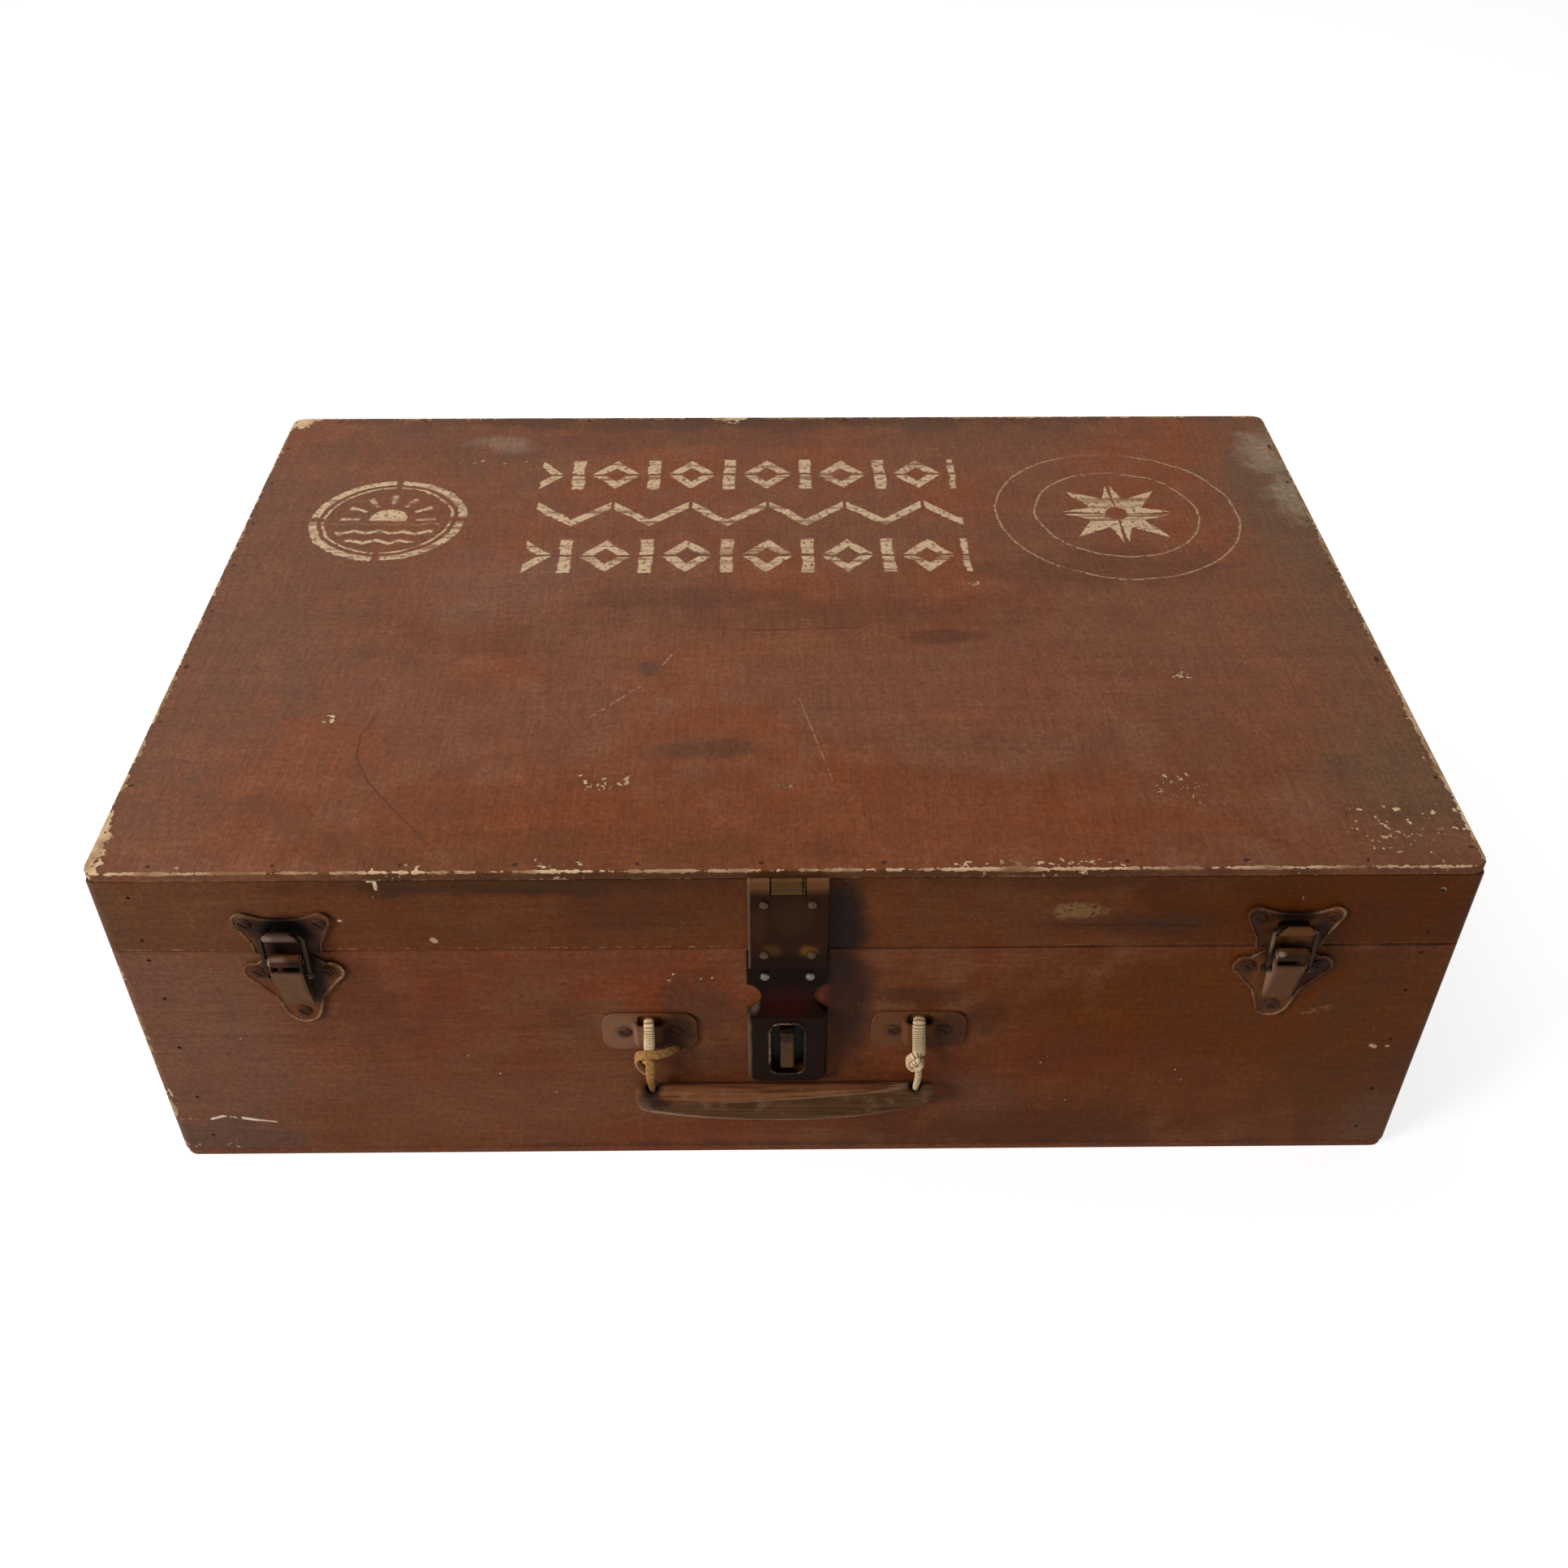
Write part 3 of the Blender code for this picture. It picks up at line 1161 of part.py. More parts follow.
def lock_spring(shop):
    """The spring that holds the bolt up: six turns of wire under the bolt's foot."""
    floor = -BOLT_FOOT_DROP - SPRING_LENGTH + SPRING_WIRE_RADIUS
    climb = SPRING_LENGTH - 2 * SPRING_WIRE_RADIUS - SEAT
    count = SPRING_TURNS * SPRING_POINTS
    points = []
    for n in range(count + 1):
        turn = 2 * math.pi * n / SPRING_POINTS
        across = SPRING_RADIUS * math.cos(turn)
        depth = (BOLT_FOOT_DEPTH + BOLT_SHEET) / 2 + SPRING_RADIUS * math.sin(turn)
        points.append(front_place(across, -depth, floor + climb * n / count))
    wire = shop.bake(tube("lock_spring", points, SPRING_WIRE_RADIUS, False, 0))
    return shop.part(smooth(wire), "lock_spring", "steel")


def handle_screw_places(across):
    """Where a handle plate's two screw heads sit."""
    reach = HANDLE_SCREW_REACH
    return [front_place(across + side * reach, PLATE_TOP, -HANDLE_PLATE_DROP) for side in (-1, 1)]


def handle_plate(shop, name, across):
    """A round-ended plate with a bridge pressed out of its middle, open above and below."""
    rise = -HANDLE_PLATE_DROP
    half, tall = HANDLE_PLATE_HALF, HANDLE_PLATE_HEIGHT / 2
    outline = rounded(-half, half, rise - tall, rise + tall, (HANDLE_PLATE_CORNER,) * 4, 4)
    plate = shop.bake(soften(front_plate(name, outline, across, SEAT, PLATE_TOP), HANDLE_PLATE_EDGE))
    reach = BRIDGE_HEIGHT / 2
    open_to = reach + 2 * TIE_RADIUS + SEAT
    mouth = rounded(-BRIDGE_HALF, BRIDGE_HALF, rise - open_to, rise + open_to, (TIE_RADIUS,) * 4)
    mouth = front_plate("mouth", mouth, across, -OVERRUN, PLATE_TOP + OVERRUN)
    out = BRIDGE_STANDOFF + SHEET
    foot = BRIDGE_HALF + BRIDGE_RAMP
    arch = [
        (-foot - SHEET, PLATE_TOP - SHEET),
        (-foot - SHEET, PLATE_TOP),
        (-foot, PLATE_TOP),
        (-BRIDGE_HALF, out),
        (BRIDGE_HALF, out),
        (foot, PLATE_TOP),
        (foot + SHEET, PLATE_TOP),
        (foot + SHEET, PLATE_TOP - SHEET),
        (foot - SHEET / 2, PLATE_TOP - SHEET),
        (BRIDGE_HALF - SHEET / 2, BRIDGE_STANDOFF),
        (SHEET / 2 - BRIDGE_HALF, BRIDGE_STANDOFF),
        (SHEET / 2 - foot, PLATE_TOP - SHEET),
    ]
    arch = [(across + x, front_y(s)) for x, s in arch]
    bridge = prism("bridge", arch, SPLIT_Z + rise - reach, SPLIT_Z + rise + reach, "Z")
    plate = shop.shape(shop.shape(plate, [mouth]), joins=[bridge])
    return shop.part(smooth(screwed(shop, plate, handle_screw_places(across))), name, "painted_plate")


def knot_place(across):
    """The middle of a tie's knot, which is where the handle turns."""
    return front_place(across, KNOT_STANDOFF, -KNOT_DROP)


def handle_pivot():
    """The middle of the line through both knots."""
    return knot_place(GRIP_MIDDLE)


def tie_loop(shop, name, across, knot_half, finish):
    """The tie's loop round the bridge, closed by its knot below the plate."""
    front = BRIDGE_STANDOFF + SHEET + SEAT + TIE_RADIUS
    back = BRIDGE_STANDOFF - SEAT - TIE_RADIUS
    middle = (front + back) / 2
    radius = (front - back) / 2
    reach = BRIDGE_HEIGHT / 2
    rise = -HANDLE_PLATE_DROP
    path = arc((middle, rise + reach), radius, 0, 180, TIE_STEPS)
    path += arc((middle, rise - reach), radius, 180, 360, TIE_STEPS)
    cord = shop.bake(tube(name, [front_place(across, s, z) for s, z in path], TIE_RADIUS, True))
    ball = bmesh.new()
    bmesh.ops.create_uvsphere(ball, u_segments=12, v_segments=10, radius=1)
    turn = Matrix.Rotation(math.radians(90), 4, "Y")
    size = Matrix.Diagonal((knot_half, KNOT_RADIUS, KNOT_RADIUS, 1))
    bmesh.ops.transform(ball, matrix=Matrix.Translation(knot_place(across)) @ size @ turn, verts=ball.verts)
    made = shop.shape(cord, joins=[mesh_object("knot", ball)])
    return shop.part(smooth(made, 60), name, finish)


def tie_tail(shop, name, across, finish):
    """The tie's lower run, from under the knot into the grip's hole."""
    top = knot_place(across) - Vector((0, 0, KNOT_RADIUS + SEAT))
    foot = SPLIT_Z - GRIP_TOP_DROP - GRIP_HOLE_DEPTH + 2 * SEAT
    middle = Vector((top.x, front_y(tail_standoff()), (top.z + foot) / 2))
    tail = rod(name, TIE_TAIL_RADIUS, middle, top.z - foot, "Z", SLIM_SIDES)
    for vert in tail.data.vertices:
        if vert.co.z > middle.z:
            vert.co.y += top.y - middle.y
    return shop.part(smooth(tail), name, finish, handle_pivot())


def tail_standoff():
    """The stand-off of the tie's run inside the grip."""
    return GRIP_BACK + GRIP_THICKNESS / 2


def grip_station(share):
    """The grip's section at a share from -1 at its left end to 1 at its right end.

    Its top is level and its underside bows down to the middle. It thins to its ends, most at the right.
    """
    end_share = GRIP_LEFT_END_SHARE if share < 0 else GRIP_RIGHT_END_SHARE
    belly = math.sqrt(1 - share * share * (1 - end_share * end_share))
    tall = GRIP_DEEP * belly
    end = (1 - min(1, (1 - abs(share)) / GRIP_CAP_SHARE)) ** 2
    shrink = 1 - GRIP_CAP_PINCH_SHARE * end
    thick = GRIP_THICKNESS * (GRIP_THIN_SHARE + (1 - GRIP_THIN_SHARE) * belly) * shrink
    return tall * shrink, thick


def grip(shop):
    """The handle's grip: a loft along X with a flat back, a bowed underside and two tie holes."""
    work = bmesh.new()
    rings = []
    for n in range(GRIP_STATIONS + 1):
        share = -math.cos(math.pi * n / GRIP_STATIONS)
        tall, thick = grip_station(share)
        x = GRIP_MIDDLE + GRIP_HALF * share
        top = SPLIT_Z - GRIP_TOP_DROP
        ring = []
        for m in range(GRIP_RING_POINTS):
            angle = 2 * math.pi * m / GRIP_RING_POINTS
            power = 2 / GRIP_SQUARENESS
            c, s = math.cos(angle), math.sin(angle)
            out = math.copysign(abs(c) ** power, c)
            up = math.copysign(abs(s) ** power, s)
            y = front_y(GRIP_BACK + GRIP_THICKNESS / 2 + out * thick / 2)
            ring.append(work.verts.new((x, y, top - tall / 2 + up * tall / 2)))
        rings.append(ring)
    for before, after in zip(rings, rings[1:]):
        for m in range(GRIP_RING_POINTS):
            following = (m + 1) % GRIP_RING_POINTS
            work.faces.new((before[m], before[following], after[following], after[m]))
    work.faces.new(rings[0])
    work.faces.new(list(reversed(rings[-1])))
    body = mesh_object("handle_grip", work)
    holes = []
    for across in (-LEFT_HANDLE_REACH, RIGHT_HANDLE_REACH):
        low = SPLIT_Z - GRIP_TOP_DROP - GRIP_HOLE_DEPTH
        high = SPLIT_Z - GRIP_TOP_DROP + OVERRUN
        middle = (across, front_y(tail_standoff()), (low + high) / 2)
        holes.append(rod("tie_hole", TIE_TAIL_RADIUS + 2 * SEAT, middle, high - low, "Z", SLIM_SIDES))
    return shop.part(smooth(shop.shape(body, holes)), "handle_grip", "leather", handle_pivot())


def handle(shop, case):
    """The carrying handle: two plates, two ties and the grip."""
    sides = (
        ("left", -LEFT_HANDLE_REACH, LEFT_KNOT_HALF, "tan_leather"),
        ("right", RIGHT_HANDLE_REACH, RIGHT_KNOT_HALF, "cord"),
    )
    for name, across, knot_half, finish in sides:
        handle_plate(shop, f"{name}_handle_plate", across)
        tie_loop(shop, f"{name}_tie_loop", across, knot_half, finish)
        tie_tail(shop, f"{name}_tie_tail", across, finish)
        case.holes["base_front"] += [pilot(place, INWARD) for place in handle_screw_places(across)]
    grip(shop)


def main():
    """Build the whole trunk."""
    clear_scene()
    shop = Workshop()
    case = Case(shop)
    rear_hinges(shop, case)
    draw_latch(shop, case, "left", LEFT_LATCH_INSET - HALF_WIDTH)
    draw_latch(shop, case, "right", HALF_WIDTH - RIGHT_LATCH_INSET)
    hasp(shop, case)
    lock_case(shop, case)
    bolt(shop)
    thumb_slide(shop)
    lock_spring(shop)
    handle(shop, case)
    case.build()


if __name__ == "__main__":
    main()
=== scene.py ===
"""Looks of a worn wooden suitcase trunk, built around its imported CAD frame.

Sizes in this file are metres in geometry and millimetres in patterns, in the frame of the CAD: +X to
the right, -Y out of the front with the lock, +Z up. A pattern reads Object coordinates, which are the
CAD's own, because every piece's object sits at the origin.
"""

import logging
import math
from dataclasses import dataclass, field
from enum import Enum

import bpy
import numpy as np
from mathutils import Matrix, Vector

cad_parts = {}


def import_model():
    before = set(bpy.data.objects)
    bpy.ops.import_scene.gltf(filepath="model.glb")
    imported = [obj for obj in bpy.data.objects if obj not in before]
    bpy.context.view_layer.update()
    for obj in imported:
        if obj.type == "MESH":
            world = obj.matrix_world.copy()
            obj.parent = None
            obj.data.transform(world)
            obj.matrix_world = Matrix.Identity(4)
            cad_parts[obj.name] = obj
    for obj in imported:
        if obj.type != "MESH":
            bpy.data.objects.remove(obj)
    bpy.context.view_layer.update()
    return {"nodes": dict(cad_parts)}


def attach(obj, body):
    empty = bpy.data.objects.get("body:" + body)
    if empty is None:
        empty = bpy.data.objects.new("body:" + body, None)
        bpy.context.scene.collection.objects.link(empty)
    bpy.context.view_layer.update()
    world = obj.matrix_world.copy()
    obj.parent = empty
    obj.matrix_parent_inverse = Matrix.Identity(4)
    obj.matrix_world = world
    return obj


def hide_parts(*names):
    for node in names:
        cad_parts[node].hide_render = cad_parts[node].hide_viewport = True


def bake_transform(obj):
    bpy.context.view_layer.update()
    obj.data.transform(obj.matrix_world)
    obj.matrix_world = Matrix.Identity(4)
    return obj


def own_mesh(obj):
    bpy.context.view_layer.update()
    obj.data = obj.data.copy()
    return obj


LOG = logging.getLogger("trunk")
Point = tuple[float, float, float]
Socket = bpy.types.NodeSocket
Material = bpy.types.Material
Thing = bpy.types.Object

MATH = "ShaderNodeMath"
VECTOR = "ShaderNodeVectorMath"
NOISE = "ShaderNodeTexNoise"
RANGE = "ShaderNodeMapRange"
MIX = "ShaderNodeMix"
COLOURED = {"data_type": "RGBA", "clamp_factor": True}
MULTIPLIED = {"data_type": "RGBA", "blend_type": "MULTIPLY", "clamp_factor": True}
SMOOTH = {"interpolation_type": "SMOOTHSTEP"}
FACTOR, FIRST, SECOND = 0, 6, 7  # a colour mix node's inputs

# The case in millimetres: its outside planes as axis, side and place, where lid and base part, and the
# boards' inner planes.
LEFT_SIDE = (0, -1.0, -300.0)
RIGHT_SIDE = (0, 1.0, 300.0)
FRONT_SIDE = (1, -1.0, -206.0)
BACK_SIDE = (1, 1.0, 206.0)
TOP_SIDE = (2, 1.0, 192.0)
PARTING = 144.7
INNER_WIDTH = 290.2
INNER_DEPTH = 196.2
FLAT_TOP = (190.5, 191.5)  # heights where a mark that is only on the top fades in
CHIP_REACH = 20.0

FRONT_PLANE = -0.206  # in metres, as is where the two ties hang
TIE_PLACES = (-0.0637, 0.0610)
ACROSS = (1.0, 0.0, 0.0)  # the two ways that a strand's width lies
TILTED = (0.0, 0.64, 0.77)


def linear(code: str) -> tuple[float, float, float, float]:
    """Turn an sRGB hex colour to linear red, green and blue, and an alpha of one."""
    shares = [int(code[n:n + 2], 16) / 255 for n in (1, 3, 5)]
    return (*[c / 12.92 if c <= 0.04045 else ((c + 0.055) / 1.055) ** 2.4 for c in shares], 1.0)


def add_node(tree: bpy.types.NodeTree, kind: str, settings: dict, inputs: dict) -> Socket:
    """Add a node with its settings and links.

    Args:
        tree: the node tree to add to.
        kind: the node's type name.
        settings: properties of the node by name.
        inputs: values or sockets by the input's name or number.

    Returns:
        The node's first output that is in use, or None where it has no output.
    """
    node = tree.nodes.new(kind)
    for name, value in settings.items():
        setattr(node, name, value)
    for key, value in inputs.items():
        if isinstance(value, Socket):
            tree.links.new(value, node.inputs[key])
        else:
            node.inputs[key].default_value = value
    shown = [socket for socket in node.outputs if socket.enabled]
    return shown[0] if shown else None


@dataclass(frozen=True)
class Cloud:
    """A soft patch of another colour: place and reach in millimetres."""

    place: Point
    reach: Point
    colour: str
    strength: float
    ragged: float = 0.6


def spots(rows: tuple[tuple, ...]) -> tuple[Cloud, ...]:
    """Clouds from rows of three numbers of place, three of reach, and the rest."""
    return tuple(Cloud(row[:3], row[3:6], *row[6:]) for row in rows)


@dataclass(frozen=True)
class Chips:
    """A scatter of small chips through the paint: place and reach in millimetres."""

    place: Point
    reach: Point
    amount: float


@dataclass(frozen=True)
class Scratch:
    """A straight scratch or smear: its ends and width in millimetres."""

    start: Point
    end: Point
    width: float
    colour: str
    strength: float
    broken: float


@dataclass(frozen=True)
class Face:
    """An outside face of the case, from its plane, with the depth in millimetres that its clouds reach."""

    plane: tuple[int, float, float]
    cloud_reach: float

    def marks(self, kind: type, rows: tuple[tuple, ...]) -> tuple:
        """Marks on the face, from rows that leave out its own axis.

        Args:
            kind: Cloud, Chips or Scratch.
            rows: two pairs of numbers, which are a place and a reach or two ends, and then the rest.

        Returns:
            One mark for each row.
        """
        axis, _, at = self.plane
        second = {Cloud: self.cloud_reach, Chips: CHIP_REACH, Scratch: at}[kind]
        return tuple(
            kind((*row[:axis], at, *row[axis:2]), (*row[2:2 + axis], second, *row[2 + axis:4]), *row[4:])
            for row in rows
        )


TOP = Face(TOP_SIDE, 30.0)
FRONT = Face(FRONT_SIDE, 20.0)


@dataclass(frozen=True)
class WornEdge:
    """An edge where the paint is worn through: its two planes, and its reach."""

    first: tuple[int, float, float]
    second: tuple[int, float, float]
    reach: float


class Grain(Enum):
    """The way that a surface's fine streaks run, as how far each axis is squeezed."""

    ALONG_X = (0.05, 1.0, 1.0)
    ALONG_Y = (1.0, 0.05, 1.0)
    ALONG_Z = (1.0, 1.0, 0.05)
    NONE = (1.0, 1.0, 1.0)


class Bench:
    """One material's node tree, with the patterns that its finish is made of."""

    def __init__(self, name: str, sheen: float = 0.5) -> None:
        """Start a material with a Principled surface.

        Args:
            name: the material's name.
            sheen: the specular level, less than a half on a skin that dust has dulled.
        """
        self.material = bpy.data.materials.new(name)
        self.material.use_nodes = True
        self.tree = self.material.node_tree
        self.surface = self.tree.nodes["Principled BSDF"]
        self.surface.inputs["Specular IOR Level"].default_value = sheen
        place = add_node(self.tree, "ShaderNodeTexCoord", {}, {}).node.outputs["Object"]
        self.place = self.add(VECTOR, {"operation": "SCALE"}, {0: place, "Scale": 1000.0})
        parts = self.add("ShaderNodeSeparateXYZ", {}, {0: self.place}).node.outputs
        self.axes = (parts[0], parts[1], parts[2])

    def add(self, kind: str, settings: dict, inputs: dict) -> Socket:
        """Add a node to this material; see add_node."""
        return add_node(self.tree, kind, settings, inputs)

    def calc(self, operation: str, *values: object) -> Socket:
        """One arithmetic node on values or sockets."""
        return self.add(MATH, {"operation": operation}, dict(enumerate(values)))

    def vector(self, operation: str, *values: object) -> Socket:
        """One node of vector arithmetic."""
        return self.add(VECTOR, {"operation": operation}, dict(enumerate(values)))

    def spread(self, value: object, low: float, high: float, new_low: float, new_high: float) -> object:
        """A value from low to high, carried in a straight line to a new low and high."""
        return self.add(RANGE, {}, dict(enumerate((value, low, high, new_low, new_high))))

    def speckle(self, size: float, grain: Grain, detail: float, seed: float) -> Socket:
        """A cloudy pattern, as Perlin noise of the place divided by the size.

        Args:
            size: the patches' size in millimetres.
            grain: the way the patches are drawn out.
            detail: how many finer layers are added.
            seed: moves the pattern.

        Returns:
            A value from 0 to 1, mostly near a half.
        """
        squeeze = tuple(share / size for share in grain.value)
        spot = self.vector("MULTIPLY_ADD", self.place, squeeze, (seed, seed, seed))
        return self.add(NOISE, {}, {"Vector": spot, "Scale": 1.0, "Detail": detail, "Roughness": 0.6})

    def between(self, value: object, low: float, high: float) -> Socket:
        """A smooth step: 0 where the value is at low, 1 where it is at high, also if low is the greater."""
        return self.add(RANGE, SMOOTH, {0: value, 1: low, 2: high, 3: 0.0, 4: 1.0})

    def both(self, first: object, second: object) -> Socket:
        """The product of two masks."""
        return self.calc("MULTIPLY", first, second)

    def either(self, first: object, second: object) -> Socket:
        """The greater of two masks."""
        return self.calc("MAXIMUM", first, second)

    def laid_over(self, under: object, over: object, mask: object, strength: float | None = None) -> Socket:
        """One colour, a hex code or a socket, over another where a mask is 1, or as far as a strength."""
        if strength is not None:
            mask = self.both(mask, strength)
        under, over = (linear(colour) if isinstance(colour, str) else colour for colour in (under, over))
        return self.add(MIX, COLOURED, {FACTOR: mask, FIRST: under, SECOND: over})

    def shaded(self, colour: object, shade: object) -> Socket:
        """A colour multiplied by a shade."""
        return self.add(MIX, MULTIPLIED, {FACTOR: 1.0, FIRST: colour, SECOND: shade})

    def clouded(self, colour: object, clouds: tuple[Cloud, ...], noise: object) -> object:
        """A colour with soft patches laid over it, one after another."""
        for cloud in clouds:
            near = self.nearness(cloud.place, cloud.reach, cloud.ragged, noise)
            colour = self.laid_over(colour, cloud.colour, near, cloud.strength)
        return colour

    def nearness(self, place: tuple, reach: tuple, ragged: float, noise: object) -> Socket:
        """How near a place is: 1 at it, and 0 beyond its reach, with a ragged outline.

        The distance is the length of the offset divided by the reach on each axis, and noise is added.
        """
        scaled = self.vector("DIVIDE", self.vector("SUBTRACT", self.place, place), reach)
        far = self.vector("LENGTH", scaled).node.outputs["Value"]
        stirred = self.calc("MULTIPLY_ADD", noise, 2 * ragged, far)
        return self.between(stirred, 1.0 + ragged, 0.35 + ragged)

    def along(self, start: tuple, end: tuple, width: float, noise: object) -> Socket:
        """Nearness to a straight line: 1 on it and 0 past half its width.

        The place is dropped on the line at the share of it that is nearest, kept from 0 to 1, and the
        distance from that point is measured.
        """
        line = Vector(end) - Vector(start)
        offset = self.vector("SUBTRACT", self.place, start)
        share = self.vector("DOT_PRODUCT", offset, tuple(line / line.length_squared)).node.outputs["Value"]
        share = self.add(MATH, {"operation": "MINIMUM", "use_clamp": True}, {0: share, 1: 1.0})
        foot = self.add(VECTOR, {"operation": "SCALE"}, {0: tuple(line), "Scale": share})
        far = self.vector("DISTANCE", offset, foot).node.outputs["Value"]
        stirred = self.calc("MULTIPLY_ADD", noise, 0.8 * width, far)
        return self.between(stirred, 0.9 * width, 0.6 * width)

    def bump(self, height: object, strength: float, distance: float) -> None:
        """Give the surface relief from a height pattern, whose full step is a distance in metres."""
        relief = self.add("ShaderNodeBump", {}, {"Height": height, "Strength": strength, "Distance": distance})
        self.tree.links.new(relief, self.surface.inputs["Normal"])

    def dress(self, colour: object, roughness: object, metallic: object) -> None:
        """Set the surface's main sockets from sockets or values."""
        wanted = {"Base Color": colour, "Roughness": roughness, "Metallic": metallic, "IOR": 1.5}
        for name, value in wanted.items():
            if isinstance(value, Socket):
                self.tree.links.new(value, self.surface.inputs[name])
            else:
                self.surface.inputs[name].default_value = value


@dataclass(frozen=True)
class PaintedWood:
    """Brushed red-brown oil paint on plywood and pine, worn through to a cream ground at the edges.

    It gives the eye a satin, uneven skin: redder where it was rubbed and greyer where dirt has settled.
    """

    name: str
    red: str
    brown: str
    grey: str
    ground: str = "#dcbd98"
    grime: str = "#3c2a20"
    grain: Grain = Grain.ALONG_X
    clouds: tuple[Cloud, ...] = ()
    chips: tuple[Chips, ...] = ()
    scratches: tuple[Scratch, ...] = ()
    edges: tuple[WornEdge, ...] = ()
    stencil: bool = False

    def build(self) -> Material:
        """Make the material."""
        bench = Bench(self.name, sheen=0.10)
        slow = bench.speckle(95.0, Grain.NONE, 3.0, 1.7)
        mid = bench.speckle(22.0, Grain.NONE, 4.0, 4.1)
        fine = bench.speckle(2.6, Grain.NONE, 5.0, 9.3)
        streak = bench.speckle(0.9, self.grain, 3.0, 2.2)
        colour = bench.laid_over(self.red, self.brown, bench.between(slow, 0.36, 0.60))
        colour = bench.laid_over(colour, self.grey, bench.between(mid, 0.42, 0.72), 0.6)
        colour = bench.clouded(colour, self.clouds, mid)
        colour = self.brushed(bench, colour, streak, fine, mid)
        if self.stencil:
            colour = bench.laid_over(colour, "#24150e", self.nail_marks(bench, mid), 0.85)
            paint = StencilBand(bench, fine, mid).mask()
            colour = bench.laid_over(colour, "#dcc29e", paint)
        for scratch in self.scratches:
            near = bench.along(scratch.start, scratch.end, scratch.width, mid)
            broken = bench.between(fine, 0.30 + 0.35 * scratch.broken, 0.42 + 0.35 * scratch.broken)
            near = bench.both(near, bench.both(broken, scratch.strength))
            colour = bench.laid_over(colour, scratch.colour, near)
        worn, rim = self.wear(bench, fine, mid)
        bare = bench.laid_over(self.ground, "#8d6a48", bench.between(mid, 0.38, 0.66))
        colour = bench.laid_over(colour, self.grime, rim, 0.5)
        colour = bench.laid_over(colour, bare, worn)
        colour = self.inside(bench, colour, streak, mid)
        rough = bench.spread(mid, 0.3, 0.7, 0.52, 0.70)
        bench.dress(colour, bench.either(rough, bench.both(worn, 0.85)), 0.0)
        height = bench.calc("MULTIPLY_ADD", streak, 0.35, bench.both(fine, 0.4))
        height = bench.calc("SUBTRACT", height, worn)
        bench.bump(height, 0.45, 0.0003)
        return bench.material

    def brushed(self, bench: Bench, colour: object, streak: object, fine: object, mid: object) -> object:
        """Brush marks, rubbed specks and dark pits over the paint, from its streaks and patches."""
        shade = bench.spread(streak, 0.25, 0.75, 0.80, 1.17)
        smear = bench.speckle(6.0, Grain.ALONG_X, 4.0, 20.5)
        for pattern, low, high in ((fine, 0.68, 1.30), (mid, 0.80, 1.18), (smear, 0.90, 1.10)):
            shade = bench.both(shade, bench.spread(pattern, 0.25, 0.75, low, high))
        colour = bench.shaded(colour, shade)
        pits = bench.speckle(1.3, Grain.NONE, 2.0, 12.4)
        dark = bench.both(bench.between(pits, 0.63, 0.72), bench.between(mid, 0.38, 0.58))
        colour = bench.laid_over(colour, self.grime, dark, 0.7)
        pale = bench.both(bench.between(pits, 0.335, 0.265), bench.between(mid, 0.46, 0.60))
        return bench.laid_over(colour, "#b48a70", pale, 0.60)

    def nail_marks(self, bench: Bench, mid: object) -> object:
        """Dark sunk heads of the nails along the top's edges.

        Each place along an edge, pushed about by the larger patches, is folded at the nails' pitch, and
        its distance from the fold and from the line of nails is kept under the head's radius.
        """
        across, deep, up = bench.axes
        marks = 0.0
        for way, over, inset, pitch in ((across, deep, 201.4, 26.0), (deep, across, 295.6, 22.5)):
            pushed = bench.calc("MULTIPLY_ADD", mid, 22.0, way)
            fold = bench.calc("PINGPONG", pushed, pitch)
            out = bench.calc("ABSOLUTE", over)
            out = bench.calc("SUBTRACT", out, inset)
            square = bench.calc("MULTIPLY_ADD", out, out, bench.both(fold, fold))
            marks = bench.either(marks, bench.between(square, 1.5, 0.8))
        return bench.both(marks, bench.between(up, *FLAT_TOP))

    def wear(self, bench: Bench, fine: object, mid: object) -> tuple[object, object]:
        """Where the paint is gone, at the edges and in chips, and the dirty rim round that.

        A noise of 2.6 mm patches has to rise above a height that falls near an edge or a cluster.

        Returns:
            The mask of bare ground and the mask of the rim.
        """
        closest = 9.0
        for edge in self.edges:
            total = 0.0
            for axis, side, at in (edge.first, edge.second):
                offset = bench.calc("SUBTRACT", at, bench.axes[axis])
                total = bench.calc("MULTIPLY_ADD", offset, side / edge.reach, total)
            closest = bench.calc("MINIMUM", total, closest)
        uneven = bench.calc("MULTIPLY_ADD", mid, -6.5, 3.8)
        closest = bench.calc("ADD", closest, uneven)
        clamped = {"operation": "MULTIPLY_ADD", "use_clamp": True}
        height = bench.add(MATH, clamped, {0: closest, 1: 0.17, 2: 0.28})
        height = bench.calc("MINIMUM", height, 0.80)
        for chips in self.chips:
            near = bench.nearness(chips.place, chips.reach, 0.6, mid)
            height = bench.calc("MULTIPLY_ADD", near, -0.20 * chips.amount, height)
        flake = bench.speckle(4.6, Grain.NONE, 5.0, 15.1)
        mixed = bench.calc("MULTIPLY_ADD", flake, 0.5, bench.both(fine, 0.5))
        mixed = bench.calc("MULTIPLY_ADD", mixed, 1.25, -0.125)
        over = bench.calc("SUBTRACT", mixed, height)
        return bench.between(over, 0.0, 0.02), bench.between(over, -0.07, 0.0)

